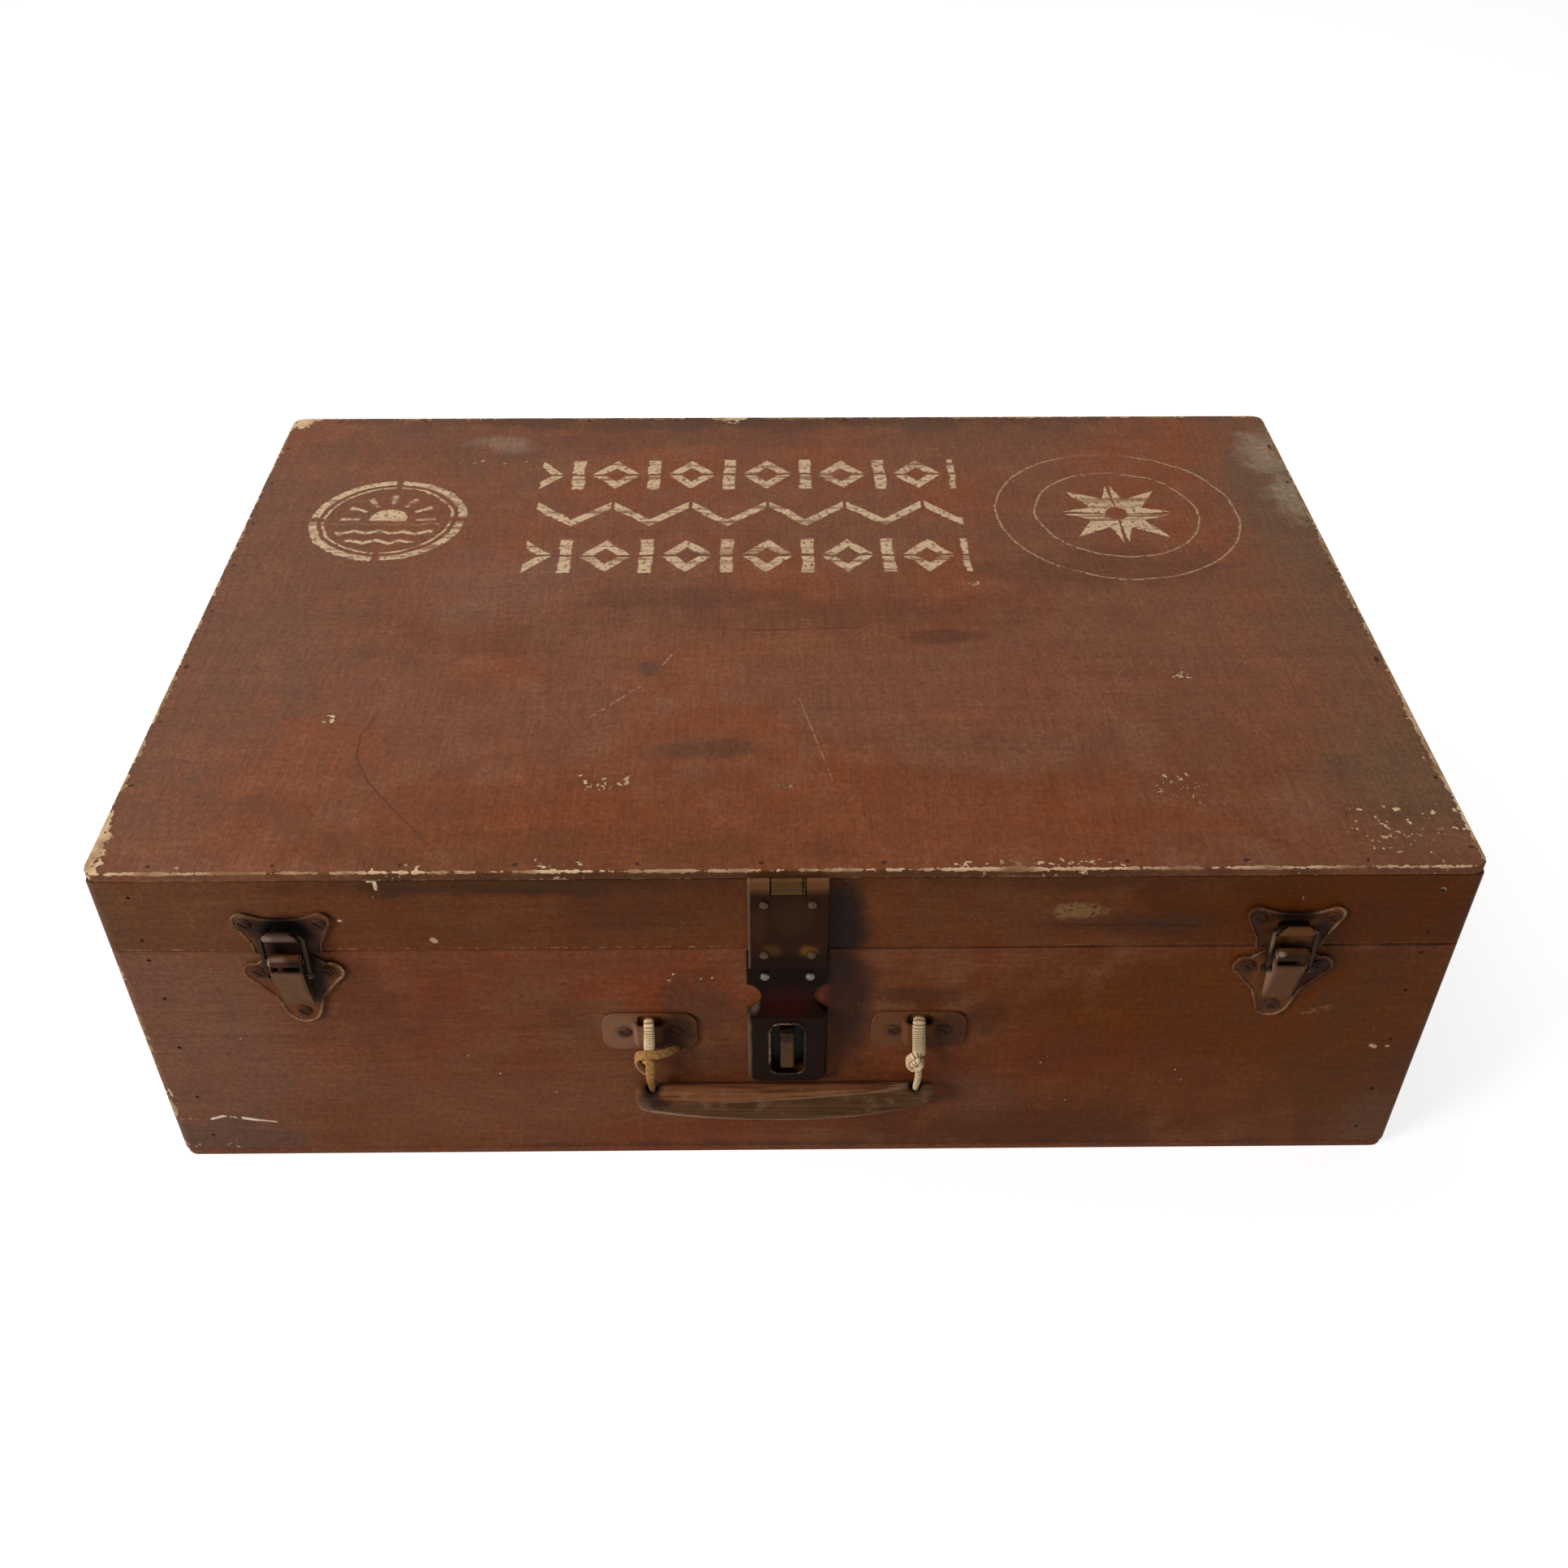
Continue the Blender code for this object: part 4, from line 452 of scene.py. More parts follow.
    def inside(self, bench: Bench, painted: object, streak: object, mid: object) -> object:
        """Bare wood on the faces inside the case and on the rims where lid and base meet.

        A face is inside where it lies within the boards' inner planes and between the two panels.
        """
        across, deep, up = bench.axes
        width = bench.calc("ABSOLUTE", across)
        depth = bench.calc("ABSOLUTE", deep)
        within = bench.both(bench.between(width, INNER_WIDTH + 0.1, INNER_WIDTH - 0.1),
                            bench.between(depth, INNER_DEPTH + 0.1, INNER_DEPTH - 0.1))
        level = bench.both(bench.between(up, 3.3, 3.8), bench.between(up, 188.0, 187.5))
        within = bench.both(within, level)
        split = bench.calc("SUBTRACT", up, PARTING)
        split = bench.between(bench.calc("ABSOLUTE", split), 0.34, 0.28)
        inset = bench.both(bench.between(width, 299.0, 298.2), bench.between(depth, 205.0, 204.2))
        bare = bench.either(within, bench.both(split, inset))
        wood = bench.laid_over("#b08a5c", "#8c6840", bench.between(streak, 0.35, 0.70))
        wood = bench.laid_over(wood, "#6f5236", bench.between(mid, 0.50, 0.80), 0.6)
        return bench.laid_over(painted, wood, bare)


@dataclass
class StencilBand:
    """Cream stencilled ornament on the lid: a banded row in the middle, a star and a rayed disc.

    All of it is ruler-and-compass work in millimetres on the top, cut with bridges as a stencil is.
    """

    bench: Bench
    fine: object
    mid: object
    pitch: float = 44.0
    band_left: float = -140.0
    band_right: float = 102.0
    disc_place: tuple[float, float] = (-221.0, 84.0)
    disc_radius: float = 41.0
    star_place: tuple[float, float] = (190.0, 88.0)
    star_radius: float = 36.0

    def strip(self, value: object, middle: float, half: float, blur: float = 0.5) -> object:
        """1 where a field is within half a width of its middle."""
        bench = self.bench
        away = bench.calc("ABSOLUTE", bench.calc("SUBTRACT", value, middle))
        return bench.between(away, half + blur, half - blur)

    def rows(self, across: object, deep: object) -> object:
        """The middle band: two rows of hollow diamonds between bars, and a zigzag between them."""
        bench = self.bench
        fold = bench.calc("PINGPONG", bench.calc("SUBTRACT", across, self.band_left), self.pitch / 2)
        drawn = 0.0
        for middle, half in ((134.0, 17.0), (45.0, 17.0)):
            up = bench.calc("ABSOLUTE", bench.calc("SUBTRACT", deep, middle))
            lozenge = bench.calc("ADD", bench.calc("DIVIDE", fold, 15.0), bench.calc("DIVIDE", up, half))
            shape = self.strip(lozenge, 0.72, 0.24, 0.04)
            bar = self.strip(fold, self.pitch / 2, 3.4)
            tall = bench.between(up, half + 0.5, half - 0.5)
            shape = bench.either(shape, bench.both(bar, tall))
            drawn = bench.either(drawn, bench.both(shape, bench.between(up, 0.7, 1.5)))
        wave = bench.calc("MULTIPLY_ADD", fold, -0.9, 99.5)
        line = self.strip(bench.calc("SUBTRACT", deep, wave), 0.0, 3.6)
        line = bench.both(line, bench.between(fold, 0.6, 1.4))
        drawn = bench.either(drawn, line)
        middle = (self.band_left + self.band_right) / 2
        return bench.both(drawn, self.strip(across, middle, (self.band_right - self.band_left) / 2))

    def polar(self, across: object, deep: object, place: tuple[float, float]) -> tuple[object, object]:
        """Radius and angle round a place on the top."""
        bench = self.bench
        x = bench.calc("SUBTRACT", across, place[0])
        y = bench.calc("SUBTRACT", deep, place[1])
        square = bench.calc("MULTIPLY_ADD", x, x, bench.calc("MULTIPLY", y, y))
        return bench.calc("SQRT", square), bench.calc("ARCTAN2", x, y)

    def star(self, across: object, deep: object) -> object:
        """An eight-pointed star in a scratched double ring: each ray's edge is a straight line."""
        bench = self.bench
        radius, angle = self.polar(across, deep, self.star_place)
        size = self.star_radius
        fold = bench.calc("PINGPONG", angle, math.pi / 8)
        out = bench.calc("MULTIPLY", radius, bench.calc("COSINE", fold))
        side = bench.calc("MULTIPLY", radius, bench.calc("SINE", fold))
        edge = bench.calc("MULTIPLY_ADD", side, 3.4, out)
        rays = bench.between(edge, size + 0.5, size - 0.5)
        rays = bench.both(rays, bench.between(radius, 6.0, 7.0))
        seams = bench.between(bench.calc("PINGPONG", angle, math.pi / 4), 0.03, 0.06)
        inner, outer = (self.strip(radius, share * size, 0.5, 0.4) for share in (1.28, 1.9))
        rings = bench.either(inner, outer)
        return bench.either(bench.both(rays, seams), bench.both(rings, 0.6))

    def disc(self, across: object, deep: object) -> object:
        """A thick ring round a small rayed disc, over wavy lines."""
        bench = self.bench
        radius, angle = self.polar(across, deep, self.disc_place)
        size = self.disc_radius
        rings = bench.either(self.strip(radius, size, 2.3), self.strip(radius, 0.86 * size, 0.7, 0.4))
        gaps = bench.between(bench.calc("PINGPONG", angle, math.pi / 4), 0.03, 0.07)
        rays = self.strip(bench.calc("PINGPONG", angle, math.pi / 12), 0.0, 0.06, 0.03)
        rays = bench.both(rays, self.strip(radius, 0.52 * size, 0.13 * size))
        sun = bench.either(rays, bench.between(radius, 0.28 * size, 0.25 * size))
        sun = bench.both(sun, bench.between(deep, 82.0, 84.0))
        fold = bench.calc("PINGPONG", across, 7.0)
        ripple = bench.calc("MULTIPLY_ADD", fold, 0.45, deep)
        rows = self.strip(bench.calc("PINGPONG", bench.calc("SUBTRACT", ripple, 62.0), 5.0), 0.0, 1.4)
        rows = bench.both(rows, bench.between(ripple, 82.0, 81.0))
        rows = bench.both(rows, bench.between(radius, 0.74 * size, 0.72 * size))
        return bench.either(bench.both(rings, gaps), bench.either(sun, rows))

    def mask(self) -> object:
        """Where cream paint lies on the top, with worn and hand-made edges.

        The place is pushed about by a few tenths of a millimetre of noise before the shapes are drawn.
        """
        bench = self.bench
        wander = bench.calc("MULTIPLY_ADD", self.mid, 5.0, -2.5)
        shiver = bench.calc("MULTIPLY_ADD", self.fine, 1.6, -0.8)
        across = bench.calc("ADD", bench.calc("ADD", bench.axes[0], shiver), wander)
        deep = bench.calc("ADD", bench.calc("ADD", bench.axes[1], shiver), wander)
        drawn = bench.either(self.rows(across, deep), self.star(across, deep))
        drawn = bench.either(drawn, self.disc(across, deep))
        rubbed = bench.speckle(5.0, Grain.ALONG_X, 5.0, 6.6)
        kept = bench.both(bench.between(self.fine, 0.34, 0.50), bench.between(rubbed, 0.34, 0.52))
        flat = bench.between(bench.axes[2], *FLAT_TOP)
        return bench.both(bench.both(drawn, flat), bench.calc("MULTIPLY_ADD", kept, 0.75, 0.10))


@dataclass(frozen=True)
class BareWood:
    """Sawn pine left bare inside the case: dry, pale, with darker growth lines."""

    name: str = "sawn_pine"
    pale: str = "#b89162"
    dark: str = "#86623c"
    grain: Grain = Grain.ALONG_Z

    def build(self) -> Material:
        """Make the material."""
        bench = Bench(self.name)
        rings = bench.speckle(2.4, self.grain, 3.0, 3.3)
        pores = bench.speckle(0.5, self.grain, 2.0, 7.7)
        colour = bench.laid_over(self.pale, self.dark, bench.between(rings, 0.38, 0.66))
        shade = bench.spread(pores, 0.2, 0.8, 0.88, 1.06)
        colour = bench.shaded(colour, shade)
        bench.dress(colour, bench.spread(pores, 0.2, 0.8, 0.7, 0.9), 0.0)
        bench.bump(pores, 0.3, 0.0002)
        return bench.material


@dataclass(frozen=True)
class WornMetal:
    """Sheet or wire metal with a dull skin, bright where hands and parts have rubbed it.

    Skin and metal are mixed by noise and by the stand-off from the front: a beaded rim shines between
    its two stand-offs, and whatever stands prouder keeps its skin.
    """

    name: str
    skin: str
    skin_roughness: float
    skin_metal: float
    metal: str
    metal_roughness: float
    rubbed: float
    rim: tuple[float, float] | None
    speck: str
    size: float
    spots: tuple[Cloud, ...] = ()
    sheen: float = 0.08

    def build(self) -> Material:
        """Make the material."""
        bench = Bench(self.name, self.sheen)
        cloud = bench.speckle(self.size, Grain.NONE, 5.0, 5.5)
        fine = bench.speckle(0.7, Grain.NONE, 3.0, 8.1)
        worn = bench.between(cloud, 0.80 - 0.30 * self.rubbed, 0.92 - 0.30 * self.rubbed)
        if self.rim:
            worn = bench.either(worn, self.rubbed_rim(bench, fine))
        skin = bench.laid_over(self.skin, self.speck, bench.between(fine, 0.50, 0.76))
        dull = bench.spread(cloud, 0.2, 0.8, 0.74, 1.22)
        skin = bench.shaded(skin, dull)
        colour = bench.laid_over(skin, self.metal, worn)
        colour = bench.clouded(colour, self.spots, cloud)
        rough = bench.spread(worn, 0.0, 1.0, self.skin_roughness, self.metal_roughness)
        metal = bench.spread(worn, 0.0, 1.0, self.skin_metal, 1.0)
        bench.dress(colour, rough, metal)
        height = bench.calc("MULTIPLY_ADD", fine, 0.5, cloud)
        bench.bump(height, 0.25, 0.0002)
        return bench.material

    def rubbed_rim(self, bench: Bench, fine: object) -> object:
        """1 between the rim's two stand-offs in millimetres, broken up by fine patches."""
        standoff = bench.calc("MULTIPLY_ADD", bench.axes[1], -1.0, FRONT_SIDE[2])
        low, high = self.rim
        raised = bench.both(bench.between(standoff, low - 0.12, low + 0.12),
                            bench.between(standoff, high + 0.12, high - 0.12))
        patchy = bench.speckle(9.0, Grain.NONE, 3.0, 14.2)
        patchy = bench.both(bench.between(fine, 0.32, 0.60), bench.between(patchy, 0.34, 0.58))
        return bench.both(raised, patchy)


@dataclass(frozen=True)
class Hide:
    """Vegetable-tanned leather, burnished and dried out by handling: fine creases and rubbed ridges."""

    name: str
    colour: str
    dark: str
    rubbed: str
    grain: Grain
    crease: float
    spots: tuple[Cloud, ...]
    upper: str = ""

    def build(self) -> Material:
        """Make the material."""
        bench = Bench(self.name, sheen=0.12)
        cloud = bench.speckle(9.0, Grain.NONE, 4.0, 3.1)
        crease = bench.speckle(self.crease, self.grain, 4.0, 5.9)
        colour = self.layers(bench, crease) if self.upper else self.colour
        colour = bench.laid_over(colour, self.dark, bench.between(crease, 0.42, 0.70), 0.8)
        colour = bench.laid_over(colour, self.rubbed, bench.between(cloud, 0.50, 0.75), 0.5)
        colour = bench.clouded(colour, self.spots, cloud)
        bench.dress(colour, bench.spread(crease, 0.2, 0.8, 0.62, 0.86), 0.0)
        bench.bump(crease, 0.5, 0.0004)
        return bench.material

    def layers(self, bench: Bench, crease: object) -> object:
        """The grip's stacked layers: redder at the top, a pale seam, grey below and a rubbed lower rim.

        The seam's height is a straight line across that rises to the right, and the rim's is a parabola;
        both are stirred by the creases.
        """
        seam = bench.calc("MULTIPLY_ADD", bench.axes[0], 0.075, 53.4)
        above = bench.calc("SUBTRACT", bench.axes[2], seam)
        above = bench.calc("MULTIPLY_ADD", crease, 1.6, above)
        above = bench.calc("SUBTRACT", above, 0.8)
        colour = bench.laid_over(self.colour, self.upper, bench.between(above, -0.4, 0.9))
        line = bench.both(bench.between(above, -1.1, -0.6), bench.between(above, 0.1, -0.4))
        colour = bench.laid_over(colour, self.rubbed, line, 0.8)
        bowed = bench.both(bench.axes[0], bench.both(bench.axes[0], -0.0020))
        over = bench.calc("ADD", bench.axes[2], bowed)
        over = bench.calc("MULTIPLY_ADD", crease, -1.6, over)
        return bench.laid_over(colour, "#b3957b", bench.between(over, 37.4, 35.6), 0.90)


@dataclass(frozen=True)
class Twine:
    """Hemp twine wound close, soiled cream: the winds are read from the piece's own UV map."""

    name: str = "hemp_twine"
    colour: str = "#fae2ba"
    dark: str = "#96754e"
    pitch: float = 1.45

    def build(self) -> Material:
        """Make the material; the UV map's V runs along the cord in millimetres."""
        bench = Bench(self.name, sheen=0.15)
        way = add_node(bench.tree, "ShaderNodeUVMap", {"uv_map": "way"}, {})
        parts = bench.add("ShaderNodeSeparateXYZ", {}, {0: way}).node.outputs
        ply = bench.calc("PINGPONG", parts[1], 0.5 * self.pitch)
        lay = bench.between(ply, 0.05 * self.pitch, 0.28 * self.pitch)
        hair = bench.speckle(0.8, Grain.NONE, 4.0, 2.9)
        colour = bench.laid_over(self.dark, self.colour, lay)
        colour = bench.laid_over(colour, "#a58560", bench.between(hair, 0.45, 0.72), 0.6)
        soiled = bench.both(bench.between(bench.axes[2], 82.0, 90.0), bench.between(bench.axes[0], 40.0, 50.0))
        colour = bench.laid_over(colour, "#6e5238", soiled, 0.30)
        bench.dress(colour, 0.92, 0.0)
        height = bench.calc("MULTIPLY_ADD", hair, 0.4, lay)
        bench.bump(height, 0.6, 0.0003)
        return bench.material


def sheet_mesh(
    name: str, places: np.ndarray, wrap: tuple[bool, bool], caps: bool = False, way: np.ndarray | None = None
) -> Thing:
    """Turn grids of points into one mesh, with quads between neighbours.

    Args:
        name: the object's name.
        places: points as copies x rows x columns x 3, in metres.
        wrap: whether rows and columns close on themselves.
        caps: whether the first and last rows are closed by a face.
        way: the UV of each point, as copies x rows x columns x 2.

    Returns:
        An object at the origin, smooth shaded.
    """
    copies, rows, columns, _ = places.shape
    numbers = np.arange(copies * rows * columns).reshape(copies, rows, columns)
    down = rows if wrap[0] else rows - 1
    across = columns if wrap[1] else columns - 1
    i, j = np.meshgrid(np.arange(down), np.arange(across), indexing="ij")
    i_next, j_next = (i + 1) % rows, (j + 1) % columns
    quads = np.stack(
        [numbers[:, i, j], numbers[:, i, j_next], numbers[:, i_next, j_next], numbers[:, i_next, j]], axis=-1
    )
    faces = quads.reshape(-1, 4).tolist()
    if caps:
        for copy in range(copies):
            faces.append(numbers[copy, 0, ::-1].tolist())
            faces.append(numbers[copy, -1, :].tolist())
    mesh = bpy.data.meshes.new(name)
    mesh.from_pydata(places.reshape(-1, 3).tolist(), [], faces)
    if way is not None:
        owners = np.empty(len(mesh.loops), dtype=np.int32)
        mesh.loops.foreach_get("vertex_index", owners)
        layer = mesh.uv_layers.new(name="way")
        layer.data.foreach_set("uv", way.reshape(-1, 2)[owners].astype(np.float32).ravel())
    mesh.shade_smooth()
    mesh.update()
    thing = bpy.data.objects.new(name, mesh)
    bpy.context.scene.collection.objects.link(thing)
    return thing


def finished(thing: Thing, material: Material, body: str) -> None:
    """Give a piece its material, body and slot, and report it.

    Args:
        thing: the piece.
        material: its finish.
        body: the CAD body that it rides on, or nothing for a piece that rides on none.
    """
    thing.data.materials.clear()
    thing.data.materials.append(material)
    if body:
        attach(thing, body)
    LOG.info("%s: %d faces on %s", thing.name, len(thing.data.polygons), body or "two bodies")


def swept(
    path: np.ndarray, reference: np.ndarray, wide: np.ndarray, thick: np.ndarray, sides: int
) -> np.ndarray:
    """Carry an oval along a path.

    Each ring is the path's point plus the oval's width along the reference and its thickness along the
    cross product of the reference and the path's direction.

    Args:
        path: n x 3 points.
        reference: n x 3 or 3 unit vectors across the path.
        wide: half widths, n.
        thick: half thicknesses, n.
        sides: points round a ring.

    Returns:
        n x sides x 3 points.
    """
    ahead = np.gradient(path, axis=0)
    ahead /= np.linalg.norm(ahead, axis=1, keepdims=True)
    side = np.broadcast_to(reference, path.shape).astype(float)
    side = side - (side * ahead).sum(axis=1, keepdims=True) * ahead
    side /= np.linalg.norm(side, axis=1, keepdims=True)
    up = np.cross(side, ahead)
    turn = np.linspace(0, 2 * np.pi, sides, endpoint=False)
    cos, sin = np.cos(turn), np.sin(turn)
    power = 0.8
    cos, sin = np.sign(cos) * np.abs(cos) ** power, np.sign(sin) * np.abs(sin) ** power
    return (
        path[:, None, :]
        + (wide[:, None] * cos)[:, :, None] * side[:, None, :]
        + (thick[:, None] * sin)[:, :, None] * up[:, None, :]
    )


def path_way(path: np.ndarray, sides: int) -> np.ndarray:
    """The UV of a swept piece: U is the share round it, V the length along it in millimetres."""
    steps = np.linalg.norm(np.diff(path, axis=0), axis=1)
    length = np.concatenate([[0.0], np.cumsum(steps)]) * 1000
    turn = np.linspace(0, 1, sides, endpoint=False)
    u, v = np.broadcast_arrays(turn[None, :], length[:, None])
    return np.stack([u, v], axis=-1)


def smooth_path(points: list[Point], count: int) -> np.ndarray:
    """A smooth line through points: each coordinate is a Catmull-Rom cubic of the running number.

    Args:
        points: the points that it passes.
        count: how many points to return.

    Returns:
        count x 3 points.
    """
    known = np.array([points[0], *points, points[-1]], dtype=float)
    place = np.linspace(0, len(points) - 1 - 1e-9, count)
    base = place.astype(int)
    t = (place - base)[:, None]
    p0, p1, p2, p3 = (known[base + n] for n in range(4))
    return 0.5 * (
        2 * p1 + (p2 - p0) * t + (2 * p0 - 5 * p1 + 4 * p2 - p3) * t**2 + (3 * p1 - p0 - 3 * p2 + p3) * t**3
    )


@dataclass
class Nails:
    """Small wire nails, driven nearly flush: a shallow domed head of revolution in each place."""

    radius: float = 0.0011
    proud: float = 0.0001
    rings: int = 5
    sides: int = 14
    corner_rises: tuple[float, ...] = (178.0, 152.0, 139.5, 114.6, 81.0, 45.0, 16.0)
    corner_inset: float = 16.0

    def heads(self, name: str, places: np.ndarray, outward: Point) -> Thing:
        """One mesh of nail heads: radius grows with the ring and height falls as a quarter circle.

        Args:
            name: the piece's name.
            places: n x 3 points on the face, in metres.
            outward: the face's outward direction.

        Returns:
            The piece.
        """
        out = np.array(outward, dtype=float)
        first = np.array([out[1], out[2], out[0]])
        second = np.cross(out, first)
        share = np.linspace(0.02, 1, self.rings)
        turn = np.linspace(0, 2 * np.pi, self.sides, endpoint=False)
        rise = self.proud * np.sqrt(np.clip(1 - share**2, 0, 1)) - 0.00003
        flat = self.radius * share[:, None, None] * (
            np.cos(turn)[None, :, None] * first + np.sin(turn)[None, :, None] * second
        )
        head = flat + (rise[:, None, None] * out)
        return sheet_mesh(name, places[:, None, None, :] + head[None], (False, True), caps=True)

    def corner_places(self, face: float, rises: np.ndarray) -> np.ndarray:
        """Nails through the front or back board into the corner posts, in millimetres."""
        sides = np.repeat([-1.0, 1.0], len(rises))
        level = np.tile(rises, 2)
        across = sides * (RIGHT_SIDE[2] - self.corner_inset + 1.1 * np.sin(level * 0.7))
        return np.stack([across, np.full_like(across, face * BACK_SIDE[2]), level], axis=1)

    def build(self, material: Material) -> None:
        """Drive every nail of the case."""
        rises = np.array(self.corner_rises)
        for body, chosen in (("lid", rises[rises > PARTING]), ("base", rises[rises < PARTING])):
            for name, face in (("front", -1.0), ("back", 1.0)):
                places = self.corner_places(face, chosen) / 1000
                heads = self.heads(f"{body}_{name}_nails", places, (0, face, 0))
                finished(heads, material, body)


@dataclass
class Tie:
    """What both ties share: strands of cord or strap carried along smooth lines on the front."""

    across: float
    front: float = -0.2172
    level: float = 0.1445
    sides: int = 20

    def places(self, table: tuple[Point, ...]) -> list[Point]:
        """Offsets across, stand-offs and rises above the level, in millimetres, as places in metres."""
        return [
            (self.across + x / 1000, FRONT_PLANE - out / 1000, self.level + rise / 1000)
            for x, out, rise in table
        ]

    def strand(
        self, name: str, table: tuple[Point, ...], wide: tuple[float, ...], thick: tuple[float, ...],
        reference: Point, pitch: float = 0.0, ribs: float = 0.0,
    ) -> Thing:
        """A strand of oval section along a smooth line.

        Its half width and half thickness, in millimetres, are spread evenly along it and joined by
        straight lines; its ends are rounded by a quarter circle, and ribs stand out by the absolute
        sine of the length over the pitch.

        Args:
            name: the piece's name.
            table: the line, as in places.
            wide: half widths along it.
            thick: half thicknesses along it.
            reference: the direction of its width.
            pitch: the ribs' pitch in millimetres, or zero for a smooth strand.
            ribs: the ribs' share of the width.

        Returns:
            The piece.
        """
        count = 40 * len(table) if pitch else 16 * len(table)
        path = smooth_path(self.places(table), count)
        way = path_way(path, self.sides)
        share = np.linspace(0, 1, count)
        blunt = np.clip(1 - np.minimum(share, 1 - share) * 22, 0, 1)
        ends = np.sqrt(np.clip(1 - blunt**2, 0.03, 1))
        wave = np.abs(np.sin(np.pi * way[:, 0, 1] / max(pitch, 0.1))) ** 0.7
        bulge = ends * (1 - ribs + ribs * wave)
        half_wide = np.interp(share, np.linspace(0, 1, len(wide)), wide) / 1000 * bulge
        half_thick = np.interp(share, np.linspace(0, 1, len(thick)), thick) / 1000 * bulge
        grid = swept(path, np.array(reference, dtype=float), half_wide, half_thick, self.sides)
        grid[..., 1] = np.maximum(grid[..., 1], self.front)
        return sheet_mesh(name, grid[None], (False, True), caps=True, way=way[None])

    def bend(self, run: Thing) -> None:
        """Bake a run's placement into its mesh; the run rides on no body and is not bent."""
        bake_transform(run)


@dataclass
class StrapTie(Tie):
    """The left tie: wound twine over the bridge, and below it a tan strap ringed and run to the grip."""

    winding: tuple = (
        (-0.4, 7.1, -65.6), (-0.3, 7.5, -60.0), (0, 7.4, -53.0), (0.2, 7.2, -46.5), (0.2, 6.2, -43.4),
        (0.1, 4.6, -42.6), (0, 3.0, -43.8), (0, 2.5, -47.0), (0, 2.5, -53.0), (0, 2.6, -59.0),
        (-0.2, 4.2, -63.6), (-0.4, 6.4, -66.0),
    )
    ring: tuple = (
        (14.6, 2.8, -62.6), (11.6, 4.6, -61.6), (7.8, 7.6, -60.4), (2.8, 9.9, -59.6), (-2.6, 9.9, -59.6),
        (-5.8, 8.8, -61.8), (-6.6, 7.6, -66.2), (-5.0, 7.0, -71.0), (-2.2, 7.2, -75.0), (0.4, 7.6, -75.4),
    )
    hitch: tuple = (
        (-3.2, 5.6, -66.4), (-3.4, 7.8, -65.2), (-1.6, 9.8, -64.2), (1.2, 10.0, -65.0), (2.9, 8.2, -67.0),
        (2.6, 6.2, -68.6),
    )
    run: tuple = (
        (0, 8.4, -65.6), (-0.2, 8.3, -69.5), (-0.5, 7.9, -74.5), (-0.7, 7.0, -80.5), (-0.4, 6.2, -86.5),
        (0, 6.0, -90.5), (0, 6.0, -94.0),
    )

    def build(self, finishes: dict[str, Material]) -> None:
        """Make the winding, the ring with its loose end, the hitch and the run into the grip."""
        wound = self.strand("left_tie_winding", self.winding, (2.7, 2.6, 2.5, 2.0, 2.0, 2.0),
                            (0.9, 1.4, 1.4, 1.4, 1.4, 1.4), ACROSS, 1.6, 0.13)
        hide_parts("left_tie_loop")
        finished(wound, finishes["hemp_twine"], "base")
        ring = self.strand("left_tie_ring", self.ring, (1.2, 2.0, 2.2, 2.2, 2.0, 1.4), (0.9,), TILTED)
        finished(ring, finishes["strap_hide"], "base")
        hitch = self.strand("left_tie_hitch", self.hitch, (1.5, 1.8, 1.5), (0.8,), TILTED)
        finished(hitch, finishes["strap_hide"], "base")
        run = self.strand("left_tie_run", self.run, (2.2, 2.4, 2.1, 1.5, 1.3), (1.3, 1.2), ACROSS)
        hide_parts("left_tie_tail")
        finished(run, finishes["strap_hide"], "")
        self.bend(run)


@dataclass
class TwineTie(Tie):
    """The right tie: twine wound close over the bridge, a lumpy knot below, and a run to the grip."""

    winding: tuple = (
        (0.4, 7.1, -65.0), (0.2, 7.7, -60.0), (-0.2, 7.6, -53.0), (-0.6, 7.4, -46.5), (-0.6, 6.4, -43.2),
        (-0.4, 4.6, -42.4), (0, 3.0, -43.8), (0, 2.5, -47.0), (0, 2.5, -53.0), (0, 2.6, -59.0),
        (0.2, 4.2, -63.6), (0.4, 6.4, -65.8),
    )
    knot: tuple = (
        (1.6, 7.0, -62.0), (-2.0, 9.0, -62.2), (-4.3, 8.8, -65.2), (-4.0, 8.4, -69.2), (-1.8, 8.6, -71.8),
        (0.8, 9.0, -70.2), (1.5, 9.5, -66.8), (-0.6, 9.9, -64.8), (-2.2, 9.6, -67.0), (-0.8, 9.2, -68.8),
    )
    run: tuple = (
        (0.2, 8.2, -66.4), (0.4, 8.3, -71.0), (0.8, 7.8, -76.5), (0.8, 6.8, -82.5), (0.3, 6.1, -88.0),
        (0, 6.0, -94.0),
    )

    def build(self, finishes: dict[str, Material]) -> None:
        """Make the winding, the knot and the run into the grip."""
        material = finishes["hemp_twine"]
        wound = self.strand("right_tie_winding", self.winding, (3.1, 3.1, 3.0, 2.2, 2.0, 2.0),
                            (0.9, 1.6, 1.5, 1.5, 1.4), ACROSS, 1.45, 0.13)
        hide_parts("right_tie_loop")
        finished(wound, material, "base")
        knot = self.strand("right_tie_knot", self.knot, (1.7, 1.9, 1.8), (1.4,), TILTED, 1.45, 0.12)
        finished(knot, material, "base")
        run = self.strand("right_tie_run", self.run, (1.7, 1.6, 1.4), (1.5, 1.4), ACROSS, 1.45, 0.10)
        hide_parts("right_tie_tail")
        finished(run, material, "")
        self.bend(run)


